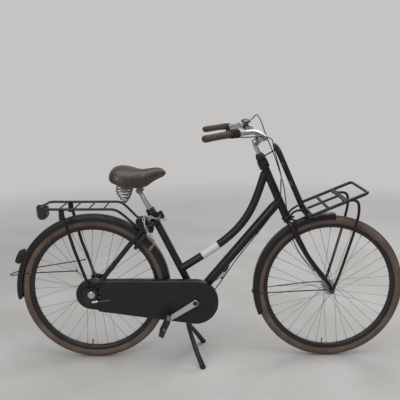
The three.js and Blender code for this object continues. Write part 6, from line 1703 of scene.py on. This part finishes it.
# %% Cables
BRAKE_CABLE = [(678.4, 258, 1112.5), (712, 250, 1114), (752, 236, 1140), (788, 196, 1170), (806, 150, 1190),
               (822, 112, 1165), (839, 88, 1113), (900, 84, 960), (935, 78, 840), (950, 66, 720),
               (975, 64, 600),
               (1010, 61, 520), (1050, 56, 465), (1078, 47, 433), (1089.6, 41.9, 421.5)]
UPPER_SHIFT = [(696.6, -246.4, 1114.5), (722, -238, 1113), (766, -206, 1112), (806, -130, 1108),
               (850, -62, 1092),
               (868, 0, 1072), (877.2, 36, 1040.5), (894, 48, 985), (908, 40, 935), (912, 14, 901)]
LOWER_SHIFT = [(910, 8, 893), (908, -14, 858), (898, -29, 790), (860, -27, 722), (700, -27, 512),
               (556, -28, 314),
               (502, -33, 278), (440, -33, 292), (340, -36, 306), (250, -50, 319), (150, -54, 327),
               (60, -66, 334),
               (27.5, -73, 338)]
for name, points, body in (("brake_cable", BRAKE_CABLE, "steering"),
                           ("shift_cable_upper", UPPER_SHIFT, "steering"),
                           ("shift_cable_lower", LOWER_SHIFT, "frame")):
    cable = Piece()
    line = flowing(route(points), 160)
    cable.bar(line, 2.45, sides=14)
    for end, inner in ((0, 6), (-1, -7)):
        cable.bar([line[end], line[inner]], 3.1, 1, sides=14)
    cable.keep(name + "_housing", ["satin_plastic", "hard_steel"], body, name)

# %% [markdown]
# ## Light, floor and camera
# A plain pale studio: one wide soft lamp above, one beside the camera and one behind, and a world that is
# pale all round. The floor keeps the bike's shadow near it and fades into the world's tone farther away.

# %% Floor and world
FAR_TONE = (0.56, 0.55, 0.54, 1)


def blended(tree, share, near, far, end):
    blend = tree.nodes.new("ShaderNodeMixShader")
    for socket, value in zip(blend.inputs, (share, near, far)):
        tree.links.new(value, socket)
    tree.links.new(blend.outputs[0], tree.nodes[end].inputs["Surface"])


floor_mesh = bpy.data.meshes.new("floor")
floor_mesh.from_pydata([(-30, -30, 0), (30, -30, 0), (30, 30, 0), (-30, 30, 0)], [], [(0, 1, 2, 3)])
floor = bpy.data.objects.new("floor", floor_mesh)
bpy.context.scene.collection.objects.link(floor)
floor_material = bpy.data.materials.new("floor_pale")
floor_material.use_nodes = True
tree = floor_material.node_tree
shader = tree.nodes["Principled BSDF"]
shader.inputs["Roughness"].default_value = 0.75
spot = node(tree, "TexCoord").outputs["Object"]
clouds = node(tree, "TexNoise", Vector=spot, Scale=2.2, Detail=6.0).outputs[0]
blotch = node(tree, "MapRange", i0=clouds, i1=0.3, i2=0.7, i3=0.0, i4=1.0).outputs[0]
tree.links.new(mixed(tree, blotch, (0.5, 0.48, 0.455, 1), (0.6, 0.585, 0.565, 1)),
               shader.inputs["Base Color"])
distance = node(tree, "VectorMath", "LENGTH", i0=spot).outputs["Value"]
fade = node(tree, "MapRange", i0=distance, i1=1.6, i2=5.5, i3=0.0, i4=1.0).outputs[0]
seen = node(tree, "LightPath").outputs["Is Camera Ray"]
share = node(tree, "Math", "MULTIPLY", i0=fade, i1=seen).outputs[0]
glow = node(tree, "Emission", Color=FAR_TONE, Strength=1.0).outputs[0]
blended(tree, share, shader.outputs[0], glow, "Material Output")
floor_mesh.materials.append(floor_material)
world = bpy.data.worlds.new("studio")
world.use_nodes = True
bpy.context.scene.world = world
tree = world.node_tree
sky = tree.nodes["Background"]
sky.inputs["Color"].default_value = (0.9, 0.92, 0.95, 1)
sky.inputs["Strength"].default_value = 0.38
backdrop = node(tree, "Background", Color=FAR_TONE, Strength=1.0).outputs[0]
seen = node(tree, "LightPath").outputs["Is Camera Ray"]
blended(tree, seen, sky.outputs[0], backdrop, "World Output")
print("floor and world are ready")

# %% Lamps
def soft_lamp(name, place, aim, size, power):
    data = bpy.data.lights.new(name, "AREA")
    data.shape, data.size, data.energy = "SQUARE", size, power
    lamp = bpy.data.objects.new(name, data)
    lamp.location = place
    lamp.rotation_euler = (Vector(aim) - Vector(place)).to_track_quat("-Z", "Y").to_euler()
    bpy.context.scene.collection.objects.link(lamp)


soft_lamp("ceiling", (0.2, -0.6, 3.4), (0, 0, 0.3), 3.2, 62)
soft_lamp("beside_camera", (-1.6, -3.2, 2.2), (0, 0, 0.5), 1.8, 34)
soft_lamp("behind", (1.8, 2.6, 2.4), (0, 0, 0.5), 1.8, 30)
print("three soft lamps")

# %% [markdown]
# The camera stands on the bike's right side, a little above the saddle, and looks slightly down. Its place
# and angles were worked out from the two wheels and the floor. The lens is given by how many image widths
# away a metre shows.

# %% Camera
CAMERA_PLACE = Vector((558, -2580, 1306))
PITCH, YAW, ROLL = math.radians(11.16), math.radians(-0.75), math.radians(-0.76)
SENSOR, WIDTHS_AWAY = 36, 550 / 400
ahead = Vector((math.sin(YAW) * math.cos(PITCH), math.cos(YAW) * math.cos(PITCH), -math.sin(PITCH)))
right = Vector((math.cos(YAW), -math.sin(YAW), 0))
top_way = right.cross(ahead)
camera_right = math.cos(ROLL) * right + math.sin(ROLL) * top_way
camera_up = math.cos(ROLL) * top_way - math.sin(ROLL) * right
camera_data = bpy.data.cameras.new("camera")
camera_data.sensor_width = SENSOR
camera_data.lens = SENSOR * WIDTHS_AWAY
camera = bpy.data.objects.new("camera", camera_data)
turn = Matrix((camera_right, camera_up, -ahead)).transposed().to_4x4()
camera.matrix_world = Matrix.Translation(in_metres(CAMERA_PLACE)) @ turn
bpy.context.scene.collection.objects.link(camera)
bpy.context.scene.camera = camera
bpy.context.scene.view_settings.view_transform = "Standard"
print("camera at", [round(c, 3) for c in camera.location])
